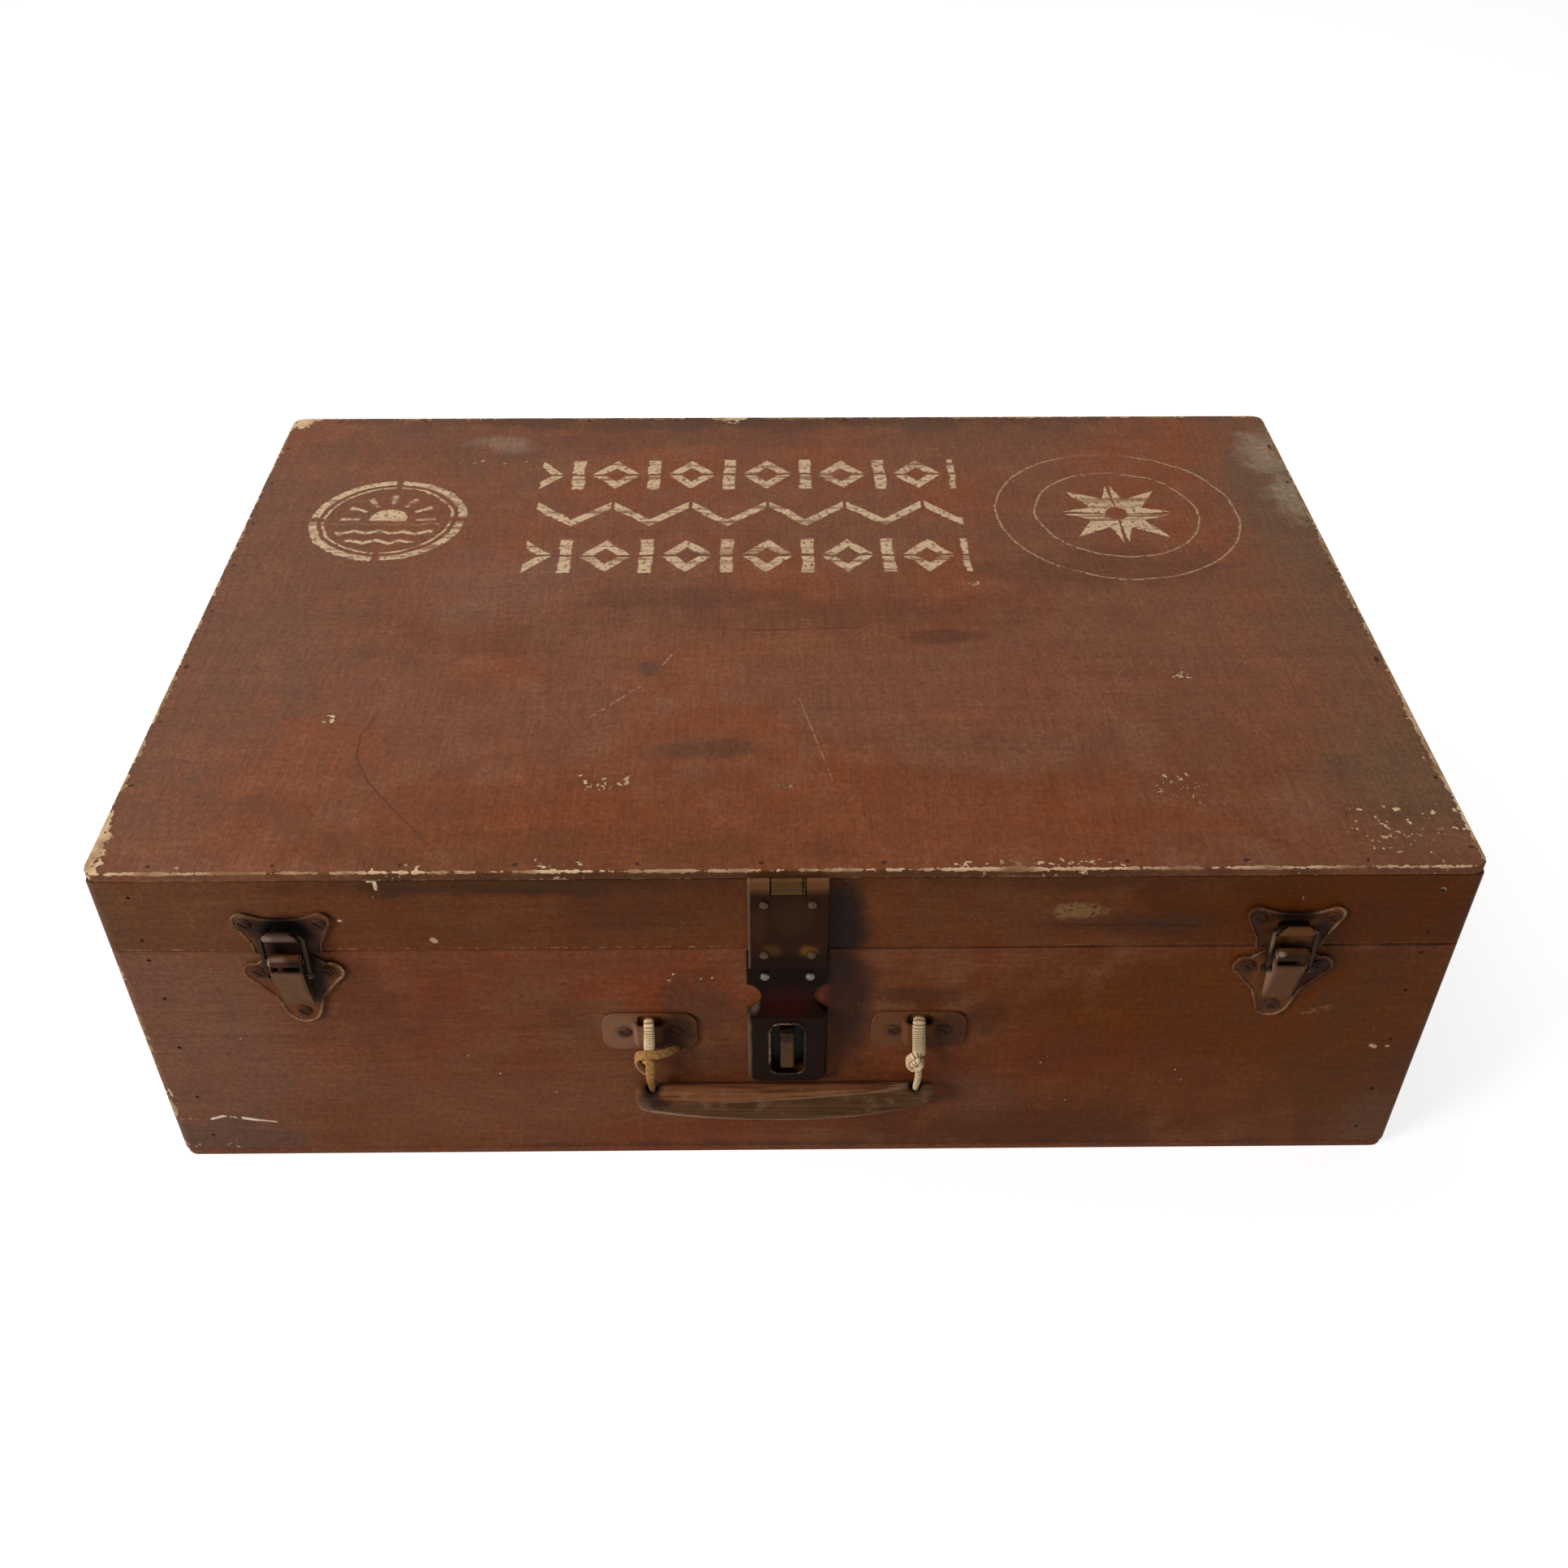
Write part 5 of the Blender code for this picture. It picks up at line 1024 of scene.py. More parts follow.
@dataclass
class Spring:
    """The coil under the lock's bolt."""

    middle: tuple[float, float] = (0.0, -0.2029)
    low: float = 0.0606
    high: float = 0.0694
    radius: float = 0.0016
    wire: float = 0.00025
    turns: int = 6
    steps: int = 24
    shortened: float = 0.64

    def build(self, material: Material) -> None:
        """Wind the coil in a finish."""
        turn = np.linspace(0, 2 * np.pi * self.turns, self.turns * self.steps + 1)
        rise = np.linspace(self.low + self.wire, self.high - self.wire, len(turn))
        x = self.middle[0] + self.radius * np.cos(turn)
        y = self.middle[1] + self.radius * np.sin(turn)
        half = np.full(len(turn), self.wire)
        grid = swept(np.stack([x, y, rise], axis=-1), np.array([0.0, 0.0, 1.0]), half, half, 10)
        coil = sheet_mesh("lock_coil", grid[None], (False, True), caps=True)
        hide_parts("lock_spring")
        finished(coil, material, "base")
        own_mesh(coil)


@dataclass
class Grip:
    """The carrying grip: layers of leather pressed and stitched into a bowed bar, worn round."""

    left: float = -0.0720
    right: float = 0.0695
    top: float = 0.0570
    deep: float = 0.0225
    thick: float = 0.0100
    back: float = 0.0010
    left_end_share: float = 0.62
    right_end_share: float = 0.36
    squareness: float = 2.8
    hole_radius: float = 0.0023
    hole_depth: float = 0.0045
    stations: int = 340
    sides: int = 72

    def section(self, share: np.ndarray) -> tuple[np.ndarray, np.ndarray]:
        """Height and thickness at shares from -1 to 1 along the bar.

        The height is deep times the root of one less the squared share times one less the squared end
        share, and both shrink in the last sixteenth of each end by a parabola.
        """
        end_share = np.where(share < 0, self.left_end_share, self.right_end_share)
        belly = np.sqrt(np.clip(1 - share**2 * (1 - end_share**2), 0, 1))
        shrink = 1 - 0.28 * (1 - np.clip((1 - np.abs(share)) / 0.06, 0, 1)) ** 2
        return self.deep * belly * shrink, self.thick * (0.72 + 0.28 * belly) * shrink

    def build(self, material: Material) -> None:
        """Loft the bar: at each station along it a squared oval.

        Shallow grooves along the front part the layers, slow waves make it uneven, and a bell-shaped
        dent at each tie's place makes the hole's mouth.
        """
        share = -np.cos(np.linspace(0, np.pi, self.stations)) * 0.5 + np.linspace(-0.5, 0.5, self.stations)
        x = (self.left + self.right) / 2 + (self.right - self.left) / 2 * share
        tall, thick = self.section(share)
        turn = np.linspace(0, 2 * np.pi, self.sides, endpoint=False)
        cos, sin = np.cos(turn), np.sin(turn)
        out = np.sign(cos) * np.abs(cos) ** (2 / self.squareness)
        up = np.sign(sin) * np.abs(sin) ** (2 / self.squareness)
        groove = np.exp(-(((up - 0.42) / 0.06) ** 2)) + 0.7 * np.exp(-(((up + 0.30) / 0.06) ** 2))
        groove = np.where(cos > 0.2, groove, 0.0)[None, :]
        wave = 0.00014 * np.sin(x * 190)[:, None] + 0.00009 * np.sin(x * 510 + 1)[:, None]
        depth = out[None, :] * thick[:, None] / 2 - 0.00045 * groove * np.abs(out)[None, :]
        standoff = np.clip(self.back + self.thick / 2 + depth + 0.5 * wave, 0.0006, self.back + self.thick)
        z = self.top - tall[:, None] / 2 + up[None, :] * tall[:, None] / 2 + wave * (up[None, :] < 0.5)
        for hole in TIE_PLACES:
            far = (x[:, None] - hole) ** 2 + (standoff - self.back - self.thick / 2) ** 2
            z = z - self.hole_depth * np.exp(-((far / self.hole_radius**2) ** 2)) * (up[None, :] > 0)
        grid = np.stack([np.broadcast_to(x[:, None], z.shape), FRONT_PLANE - standoff, z], axis=-1)
        grip = sheet_mesh("grip_leather", grid[None], (False, True), caps=True)
        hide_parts("handle_grip")
        finished(grip, material, "handle")


FRONT_EDGES = (WornEdge(LEFT_SIDE, FRONT_SIDE, 1.45), WornEdge(RIGHT_SIDE, FRONT_SIDE, 0.8))

# The lid's top: redder in the middle, grey at the left, mouldy along the right edge.
LID_TOP = PaintedWood(
    "lid_top_paint", red="#7f4627", brown="#784a33", grey="#77503d", grain=Grain.ALONG_Y, stencil=True,
    clouds=TOP.marks(Cloud, (
        (-290, 0, 90, 260, "#704b39", 0.8), (-215, 90, 110, 110, "#744a34", 0.6),
        (-200, 175, 110, 40, "#6a4431", 0.6), (-60, 190, 150, 36, "#633f2d", 0.6),
        (140, 190, 130, 36, "#6b4530", 0.5), (295, 60, 60, 240, "#694e3a", 0.8),
        (292, -140, 66, 70, "#6c5039", 0.8), (292, 160, 22, 36, "#94816c", 0.75, 1.0),
        (294, 104, 16, 34, "#95856c", 0.75, 1.0), (-166, 173, 22, 14, "#8f7260", 0.6, 1.0),
        (-164, -14, 26, 22, "#8a6250", 0.5, 1.0), (250, -40, 80, 110, "#7a4f39", 0.55),
        (0, 205, 330, 22, "#4b3223", 0.7), (40, -176, 250, 56, "#793e1b", 0.6),
        (-125, -172, 140, 50, "#763e1c", 0.55), (-10, -40, 110, 44, "#804d31", 0.45),
        (-90, -194, 170, 22, "#66391c", 0.5), (-33, -122, 30, 10, "#3f2e22", 0.5),
        (-68, -61, 6, 8, "#4a382d", 0.6, 1.0), (20, -12, 150, 24, "#5e3826", 0.5),
        (-60, 4, 70, 14, "#5e3826", 0.45), (84, -33, 26, 8, "#4f2d1d", 0.65),
        (-150, 20, 60, 40, "#7d5646", 0.5), (-160, -30, 70, 30, "#653d27", 0.5),
        (170, 30, 80, 26, "#5c3824", 0.5), (100, -80, 110, 36, "#7d4c35", 0.7),
    )) + (Cloud((0, -206, 189), (310, 0.8, 3.2), "#50341f", 0.8),),
    chips=TOP.marks(Chips, (
        (-80, -148, 24, 14, 1.15), (-1, -150, 8, 5, 1.5), (174, -155, 30, 20, 1.1), (195, -68, 8, 7, 1.6),
        (-217, -99, 6, 6, 1.5), (272, -184, 52, 34, 1.02), (-298, -188, 8, 26, 1.9), (-270, -203, 50, 9, 0.75),
        (-168, -204, 26, 9, 0.7), (-98, -201, 22, 11, 0.7), (104, -203, 56, 8, 0.8), (214, -203, 40, 8, 0.6),
        (296, 20, 8, 150, 0.75), (297, -120, 7, 60, 0.95), (0, -204, 300, 8, 0.42), (-294, 202, 14, 14, 2.0),
        (-30, 201, 14, 7, 1.5), (102, 16, 8, 5, 1.6), (-170, 150, 34, 5, 1.1),
    )),
    scratches=TOP.marks(Scratch, (
        (7, -85, 21, -146, 0.8, "#b98868", 0.6, 0.3), (-195, -98, -199, -112, 1.5, "#4a2b1c", 0.5, 0.1),
        (-199, -112, -198, -128, 1.7, "#4a2b1c", 0.6, 0.1), (-198, -128, -190, -145, 1.7, "#4a2b1c", 0.6, 0.1),
        (-190, -145, -177, -162, 1.7, "#4a2b1c", 0.6, 0.1), (-177, -162, -155, -189, 1.5, "#4a2b1c", 0.5, 0.1),
        (-58, -22, -14, -26.6, 1.0, "#4a2b1c", 0.6, 0.3), (-14, -26.6, 40, -24.5, 1.1, "#3b2216", 0.7, 0.1),
        (-20, -29, 50, -27, 0.8, "#a07058", 0.45, 0.5), (-92, -98, -70, -74, 1.6, "#b09078", 0.5, 0.5),
        (-60, -56, -56, -48, 1.0, "#c09a80", 0.6, 0.3), (150, -95, 168, -60, 0.7, "#a98a70", 0.4, 0.5),
        (-240, -128, -170, -160, 0.7, "#a98a70", 0.25, 0.5), (40, -30, 44, -60, 0.6, "#a98a70", 0.35, 0.5),
        (-120, 150, -60, 152, 0.8, "#b09078", 0.35, 0.6), (215, 10, 225, -10, 0.7, "#a98a70", 0.45, 0.5),
    )),
    edges=(
        WornEdge(FRONT_SIDE, TOP_SIDE, 0.62), WornEdge(BACK_SIDE, TOP_SIDE, 1.8),
        WornEdge(LEFT_SIDE, TOP_SIDE, 1.6), WornEdge(RIGHT_SIDE, TOP_SIDE, 1.3),
        WornEdge(FRONT_SIDE, (2, -1.0, 187.0), 0.35),
    ),
)

# The lid's front board: darker than the base's, dirtiest under the top's edge, with painted shade behind the
# hooks, beside the hasp and the right catch plate and in the parting gap.
LID_FRONT = PaintedWood(
    "lid_front_paint", red="#6c3617", brown="#65371b", grey="#603c26",
    clouds=FRONT.marks(Cloud, (
        (-275, 165, 90, 40, "#6a432a", 0.75), (-120, 186, 150, 12, "#37220f", 0.75),
        (-60, 170, 60, 20, "#4f2c19", 0.5), (160, 186, 170, 9, "#3c230e", 0.6),
        (240, 165, 130, 40, "#552700", 0.97), (150, 158, 60, 9, "#4a2a18", 0.6),
        # Painted shade: near black behind the hooks' windows (x -219, 222.3), and painted shadow right of the
        # hasp (x 24, 22) and right of the right catch plate (x 250).
        (-219, 158, 14, 12, "#060302", 1.0, 0.1), (222.3, 158, 14, 12, "#060302", 1.0, 0.1),
        (24, 160, 16, 44, "#120502", 0.95, 0.4), (22, 150, 12, 26, "#180500", 0.7),
        (250, 158, 12, 20, "#431f0b", 0.35), (-296, 165, 14, 40, "#644733", 0.35, 1.0),
    )),
    chips=FRONT.marks(Chips, (
        (-190, 180, 60, 8, 0.75), (230, 176, 60, 10, 0.7), (30, 160, 200, 30, 0.45),
    )),
    scratches=FRONT.marks(Scratch, (
        (120.5, 166.4, 132, 166.6, 12.5, "#8a6c45", 0.75, 0.2),
        (132, 167.2, 138.5, 166.8, 9.0, "#80633d", 0.7, 0.4),
        (-176.5, 187.0, -176.3, 182.5, 1.9, "#e8cfb0", 0.95, 0.0),
        (-179.5, 186.8, -176.5, 187.0, 1.5, "#d8bd9c", 0.9, 0.0),
        (-156.2, 151.4, -155.4, 150.6, 3.4, "#caa688", 0.9, 0.0),
        (283, 178.9, 283.8, 178.4, 2.2, "#c8a587", 0.9, 0.0),
        (-195.4, 163.6, -194.8, 163.4, 2.0, "#e0c6a8", 0.9, 0.0),
        (120, 158.6, 182, 157.6, 1.8, "#2f1c0e", 0.7, 0.1), (-170, 182, -90, 180, 3.0, "#2c1a0d", 0.5, 0.4),
        (-300, 146.0, -20, 146.0, 0.7, "#b08a6c", 0.65, 0.6),
        (120, 146.0, 300, 146.0, 0.6, "#845840", 0.6, 0.4),
        # Painted shade in the gap between lid and base: faint at the left, near black at the right.
        (-300, 144.8, -20, 144.8, 0.7, "#2c170d", 0.45, 0.3),
        (20, 144.8, 300, 144.8, 0.8, "#160a05", 0.95, 0.0),
    )),
    edges=FRONT_EDGES,
)

# The base's front board: reddest in the middle, dark round the fittings and at the right; beside the fittings,
# in the lock's window and in the parting gap that darkness is painted shade.
BASE_FRONT = PaintedWood(
    "base_front_paint", red="#7a3e21", brown="#744328", grey="#6e4a36",
    clouds=FRONT.marks(Cloud, (
        # Painted shadow: the dark clouds right of the latch plates (x -194, 245), of the hasp and lock (x 28,
        # 22) and of the right handle plate (x 90), and near-black painted shade inside the lock's window (x 0,
        # height 74).
        (-285, 80, 80, 120, "#765140", 0.8), (-194, 124, 20, 24, "#46291a", 0.4),
        (-190, 96, 60, 24, "#653c2a", 0.5), (245, 128, 36, 36, "#2f1709", 0.7),
        (205, 96, 190, 80, "#632f00", 0.88), (170, 44, 160, 44, "#6f3a1b", 0.6),
        (280, 70, 60, 110, "#5b3214", 0.6), (110, 20, 120, 22, "#4a2610", 0.6),
        (92, 40, 26, 26, "#6a4434", 0.6), (-60, 120, 60, 18, "#7c3a1d", 0.6),
        (28, 112, 18, 56, "#1f0c06", 0.85, 0.4), (22, 134, 12, 26, "#1a0600", 0.6),
        (0, 74, 12, 20, "#060302", 1.0, 0.0), (-42, 104, 24, 30, "#4f3122", 0.65),
        (-36, 70, 26, 20, "#4f2f20", 0.6), (-98, 96, 16, 18, "#4a2a1b", 0.3), (90, 96, 14, 20, "#391b0d", 0.5),
        (130, 70, 70, 26, "#6b2f12", 0.45), (62, 112, 30, 10, "#3f2010", 0.6), (0, 26, 90, 14, "#6e3318", 0.5),
        (-140, 36, 90, 34, "#7a4c37", 0.5), (-284, 11, 60, 22, "#5f463b", 0.7, 1.0),
        (294, 16, 34, 30, "#70503c", 0.6), (-230, 60, 60, 26, "#7b4f3c", 0.4), (0, 3, 310, 6, "#46291a", 0.6),
    )),
    chips=FRONT.marks(Chips, (
        (-282, 8, 30, 8, 1.0), (-298, 40, 7, 22, 1.05), (-298, 100, 6, 60, 0.6), (-250, 100, 60, 40, 0.6),
        (150, 40, 140, 50, 0.62), (-120, 60, 140, 50, 0.6), (-60, 126, 50, 10, 0.8),
    )),
    scratches=FRONT.marks(Scratch, (
        (-296, 28.4, -278, 28.6, 2.2, "#a88a74", 0.6, 0.5), (-281, 28.2, -275, 30.4, 1.9, "#f0dcc2", 0.95, 0.1),
        (-275, 30.4, -268.5, 29.2, 1.4, "#e4cdb2", 0.9, 0.3),
        (-265.5, 28.8, -259, 27.2, 2.1, "#f0dcc2", 0.95, 0.1),
        (-259, 27.2, -250, 25.8, 1.6, "#e8d2b8", 0.9, 0.3), (-250, 25.8, -226, 25.0, 1.2, "#8c6c58", 0.5, 0.5),
        (239, 100.4, 249, 103.0, 6.0, "#8a6450", 0.55, 0.4),
        (-300, 142.6, 300, 142.6, 0.7, "#8a5c44", 0.35, 0.5),
        # Painted shade in the gap between lid and base: faint at the left, near black at the right.
        (-300, 144.2, -20, 144.2, 0.7, "#2c170d", 0.45, 0.3),
        (20, 144.2, 300, 144.2, 0.8, "#160a05", 0.95, 0.0), (276, 76.8, 278, 75.8, 3.0, "#d8b595", 0.95, 0.0),
        (283.5, 76.2, 284.5, 76.0, 1.6, "#d8b595", 0.85, 0.0),
    )),
    edges=FRONT_EDGES,
)

# The other outside faces: the same paint, rubbed at their corners.
SIDES = PaintedWood(
    "side_paint", red="#7a4126", brown="#75462e", grey="#714c39", grain=Grain.ALONG_Y,
    clouds=spots((
        (0, 0, 10, 330, 230, 26, "#4f3120", 0.5), (-300, -60, 90, 30, 90, 50, "#6a4534", 0.55),
        (-300, 110, 60, 30, 80, 40, "#5d3a28", 0.55), (300, -90, 120, 30, 80, 40, "#63402e", 0.55),
        (300, 80, 50, 30, 90, 50, "#5a3626", 0.55), (-140, 206, 90, 110, 30, 60, "#5f3c2a", 0.55),
        (150, 206, 60, 120, 30, 50, "#6c4836", 0.5), (0, 206, 172, 200, 30, 20, "#523222", 0.5),
    )),
    chips=(Chips((-300, -100, 100), (20, 120, 80), 0.35), Chips((300, 100, 100), (20, 120, 80), 0.35)),
    edges=tuple(
        WornEdge(end, side, 1.3) for end in (LEFT_SIDE, RIGHT_SIDE) for side in (FRONT_SIDE, BACK_SIDE)
    ),
)

# Patches on the latch, catch and handle plates. Hollow shade: painted shade, near black, in the hollows behind
# the loops, hooks and lever heads, beside the left lever and on the right latch plate's right side, with an
# ochre patch at the right hook's root.
PLATE_HOLLOW_SHADE = spots((
    (-220.0, -207.5, 159.5, 23, 6, 15, "#060302", 1.0, 0.1),
    (-218.5, -207.5, 145, 24, 6, 12, "#140a07", 0.9, 0.2), (-211.5, -208, 128, 6, 6, 24, "#120906", 0.9, 0.2),
    (222.5, -207.5, 164.5, 17, 6, 6, "#120906", 0.95, 0.1),
    (235.5, -207.5, 155, 6, 6, 13, "#1c0f09", 0.85, 0.3), (224, -207.5, 144, 22, 6, 8, "#170c08", 0.85, 0.2),
    (221.5, -207.5, 153, 9, 4, 7, "#6b441c", 0.9, 0.2), (237, -208, 128, 16, 6, 26, "#33190d", 0.85, 0.3),
))

# Screws: their heads, darker and browner than the plates round them.
PLATE_SCREWS = tuple(
    Cloud((x, -208.2, z), (5.6, 3, 5.6), "#2a170d", 0.75, 0.1)
    for x, z in (
        (-235.8, 133.2), (-205.0, 133.2), (-220.4, 107.7), (-236.6, 163.1), (-204.2, 163.1), (206.9, 133.2),
        (237.7, 133.2), (222.3, 107.7), (206.1, 163.1), (238.5, 163.1), (-75.7, 91.5), (-51.7, 91.5),
        (49.0, 91.5), (73.0, 91.5),
    )
)

# Painted light: highlights on the left ends of the handle plates, which are also rubbed there, on the left
# catch plate's left ear and on the rolls' upper left, a lighter patch on the left catch plate's right half,
# painted shade on the rolls' right sides, the right hook's face lit ochre and the left hook's shaded dark, with
# the loop bar's grey band and highlight painted on the left hook.
PLATE_PAINTED_LIGHT = spots((
    (-78, -208, 91, 22, 12, 20, "#8a6650", 0.8, 0.3), (46, -208, 88, 14, 12, 20, "#6f4a34", 0.5, 0.3),
    (-205, -208, 158, 12, 12, 16, "#7d5a44", 0.6, 0.3), (221, -215, 159, 9, 5, 8, "#66421b", 0.95, 0.2),
    (-218, -215, 159, 10, 5, 8, "#4b372b", 0.95, 0.2),
    (-219.4, -213.7, 164, 13, 2.6, 2.6, "#352924", 0.85, 0.2),
    (-221, -214.6, 160.8, 12, 2.6, 2.8, "#5c504a", 0.85, 0.3),
    (-226, -214.6, 161, 4, 4, 2.4, "#857f7c", 0.75, 0.4), (-239, -208, 168, 6, 12, 6, "#9a7b62", 0.6, 0.5),
    (-220.5, -216, 145.4, 13, 5, 6, "#3a2319", 0.85, 0.2), (-214.5, -216, 144.6, 8, 5, 6, "#150c08", 0.92, 0.2),
    (-224, -216, 148.2, 7, 4, 1.5, "#8d7868", 0.85, 0.3), (222.3, -216, 145.4, 13, 5, 6, "#2a1c11", 0.92, 0.2),
    (217, -216, 147.8, 3.2, 4, 1.6, "#a08a7a", 0.9, 0.3),
))

# Shade: the sides of the plates that dirt and shadow keep dark.
PLATE_SHADE = spots((
    (-51, -208, 91, 13, 12, 20, "#1c0e08", 0.85, 0.3), (-238, -208, 128, 14, 12, 26, "#5a3822", 0.5, 0.3),
    (206, -208, 106, 20, 12, 14, "#3f2112", 0.75, 0.3), (204, -208, 128, 8, 12, 22, "#4a2a18", 0.7, 0.3),
    (75, -208, 91, 15, 12, 20, "#3d2113", 0.75, 0.3), (-202, -208, 160, 16, 12, 22, "#5e3b2b", 0.7, 0.3),
    (206, -208, 160, 13, 12, 24, "#34190c", 0.75, 0.3), (-238, -208, 166, 14, 12, 12, "#4a3325", 0.6, 0.3),
))

# The values follow the order of WornMetal's and of Hide's fields.
METALS_AND_HIDES = (
    # Steel plate under the case's own paint: red-brown and dull, with a bead rubbed pale.
    WornMetal("overpainted_steel", "#6d4226", 0.6, 0.0, "#8f6e55", 0.55, 0.12, (1.65, 2.2), "#3d2416", 5.0,
              PLATE_PAINTED_LIGHT + PLATE_SHADE + PLATE_HOLLOW_SHADE + PLATE_SCREWS),
    # The same paint, thinner and greyer on the levers that fingers pull. Its spots are painted light and shade:
    # the lever heads dark with a highlight at their upper left, the right lever's left cheek pale where light
    # falls, the cheeks facing right near black, and the right lever's face darker.
    WornMetal("overpainted_lever", "#6b4a32", 0.58, 0.0, "#8a6b52", 0.52, 0.18, None, "#432b1c", 5.0, spots((
        (-218.6, -214, 145, 12, 10, 7, "#1c100a", 0.94, 0.2),
        (-226, -215, 146.6, 4.0, 5, 2.2, "#a38a76", 0.9, 0.5),
        (223.5, -214, 145, 12, 10, 7, "#1c0e07", 0.94, 0.2),
        (217, -215, 146.6, 3.4, 5, 2.2, "#947c6c", 0.9, 0.5),
        (-211.0, -211, 131, 5.4, 12, 22, "#0f0806", 0.95, 0.1),
        (213.2, -212, 128, 5.2, 12, 22, "#a37c66", 0.88, 0.1),
        (222.3, -212, 128, 9, 12, 22, "#633b20", 0.6, 0.2),
        (231.5, -212, 128, 5.0, 12, 22, "#331a0d", 0.85, 0.1),
    ))),
    # Blackened steel of the loops and pins: dark and half glossy, with bare glints; its spots are a painted
    # bluish highlight on the left loop's bar, browner to its right, a painted highlight on the right loop's
    # left arm and painted shade on the right loop's bar.
    WornMetal("blackened_steel", "#35281c", 0.4, 0.5, "#857567", 0.34, 0.42, None, "#150d08", 3.0, spots((
        (-224, -214.6, 159, 7, 2.4, 3, "#8d9298", 0.85, 0.3), (-214, -214.6, 159, 8, 3, 3, "#4a3326", 0.8, 0.3),
        (212.4, -214, 154, 1.6, 4, 9, "#7d6655", 0.8, 0.3), (222, -214.6, 156, 12, 3, 3, "#24140c", 0.85, 0.3),
    ))),
    # Lacquered steel of the hasp: nearly black, with warmer and olive patches and a lighter band along its
    # knuckles, darker at its lower end, and a painted highlight down its left edge.
    WornMetal("hasp_steel", "#2e180a", 0.46, 0.2, "#6b5440", 0.4, 0.14, None, "#190c06", 6.0, spots((
        (0, -211, 189, 60, 12, 9, "#6a462b", 0.85, 0.1), (-13, -211, 163, 6, 12, 14, "#3c2415", 0.7, 0.4),
        (9, -211, 147, 5.5, 8, 5.5, "#6e4a1c", 0.8, 0.5), (-7, -211, 147, 6, 8, 6, "#4c3417", 0.7, 0.5),
        (2, -211, 168, 12, 8, 14, "#392818", 0.5, 1.0), (0, -211, 140, 40, 12, 7, "#120804", 0.7, 0.3),
        (-17.6, -210, 165, 1.6, 12, 60, "#7a6452", 0.7, 0.4),
    )), 0.03),
    # Lacquered steel of the lock case: the darkest piece, with a beaded window that shines, and painted
    # highlights down its left edge and on the notch's rim.
    WornMetal("lock_steel", "#1c0c05", 0.44, 0.2, "#6a5747", 0.38, 0.04, (6.15, 6.9), "#0f0604", 6.0, spots((
        (0, -208, 128, 34, 8, 22, "#140705", 0.8, 0.3), (0, -208, 112, 16, 8, 12, "#300d07", 0.7, 0.3),
        (8.6, -213, 82, 4.4, 5, 26, "#1b110b", 0.88, 0.1), (0, -213, 66, 12, 5, 4, "#1b110b", 0.7, 0.1),
        (-15.4, -208, 111, 3.6, 6, 7, "#6d5a4b", 0.75, 0.4),
        (-17.8, -210, 86, 1.9, 12, 34, "#6a5646", 0.75, 0.4),
    )), 0.03),
    # Bright steel of the lock's nails and spring: small cold points of light.
    WornMetal("bare_steel", "#6e655c", 0.34, 0.9, "#c5bdb4", 0.26, 0.6, None, "#3a322b", 2.0),
    # Worn steel of the hasp's rivets: dull buttons.
    WornMetal("rivet_steel", "#4d3d2c", 0.34, 0.8, "#8f8064", 0.3, 0.4, None, "#2a1c12", 3.0),
    # Tarnished brass of the hasp's hinge: a dark gold, with painted shade in the gaps beside its tongue.
    WornMetal("tarnished_brass", "#503716", 0.46, 0.4, "#7a5a2c", 0.36, 0.25, None, "#2b1c0e", 3.0, spots((
        (6.4, -210, 187, 0.9, 9, 9, "#0b0604", 0.9, 0.0), (-7.6, -210, 187, 0.9, 9, 9, "#0b0604", 0.9, 0.0),
    ))),
    # Brass of the thumb slide: the same gold, browner, painted near black as shade wherever it lies deep in the
    # lock's window, which is its lower end, and darker round its knob.
    WornMetal("slide_brass", "#4c331a", 0.42, 0.3, "#7d5d31", 0.34, 0.26, None, "#21150a", 3.0, spots((
        (0, -206, 82, 200, 4.2, 200, "#030201", 1.0, 0.0), (0, -214, 96, 9, 6, 5, "#26180f", 0.8, 0.2),
        (0, -212.5, 91, 7, 5, 3.6, "#20140b", 0.85, 0.2),
    ))),
    # Rusty iron of the nails in the boards: dry, dark dots.
    WornMetal("rusty_nail", "#2b1c14", 0.75, 0.2, "#4c3626", 0.6, 0.2, None, "#1a120d", 1.0),
    # Cattle hide of the grip: dark and creased in layers, with a pale lower rim; the mouths of the two tie
    # holes are painted near black as shade, and round the left one it is darker below and paler further down to
    # the left.
    Hide("grip_hide", "#5b3c22", "#321c0c", "#8f7056", Grain.ALONG_X, 1.5, spots((
        (-64, -216, 51, 11, 10, 7, "#220d05", 0.88, 0.4), (-69, -216, 44, 7, 10, 12, "#6e5442", 0.75, 0.4),
        (-64.4, -212.6, 56.0, 6.6, 6.0, 5.0, "#080504", 1.0, 0.1),
        (61.0, -212.0, 56.0, 5.6, 5.0, 5.0, "#080504", 1.0, 0.1),
    )), "#825232"),
    # Split hide of the strap: tan and dry, the lightest spot of the front, with its loose end painted dark as
    # shade and darker where the run enters the grip.
    Hide("strap_hide", "#b38450", "#6b4324", "#e0bd8c", Grain.NONE, 1.1, spots((
        (-46, -209, 82, 9, 6, 8, "#3a1b0a", 0.95, 0.2), (-63.7, -213, 58, 6, 9, 9, "#7d512c", 0.7, 0.3),
    ))),
)

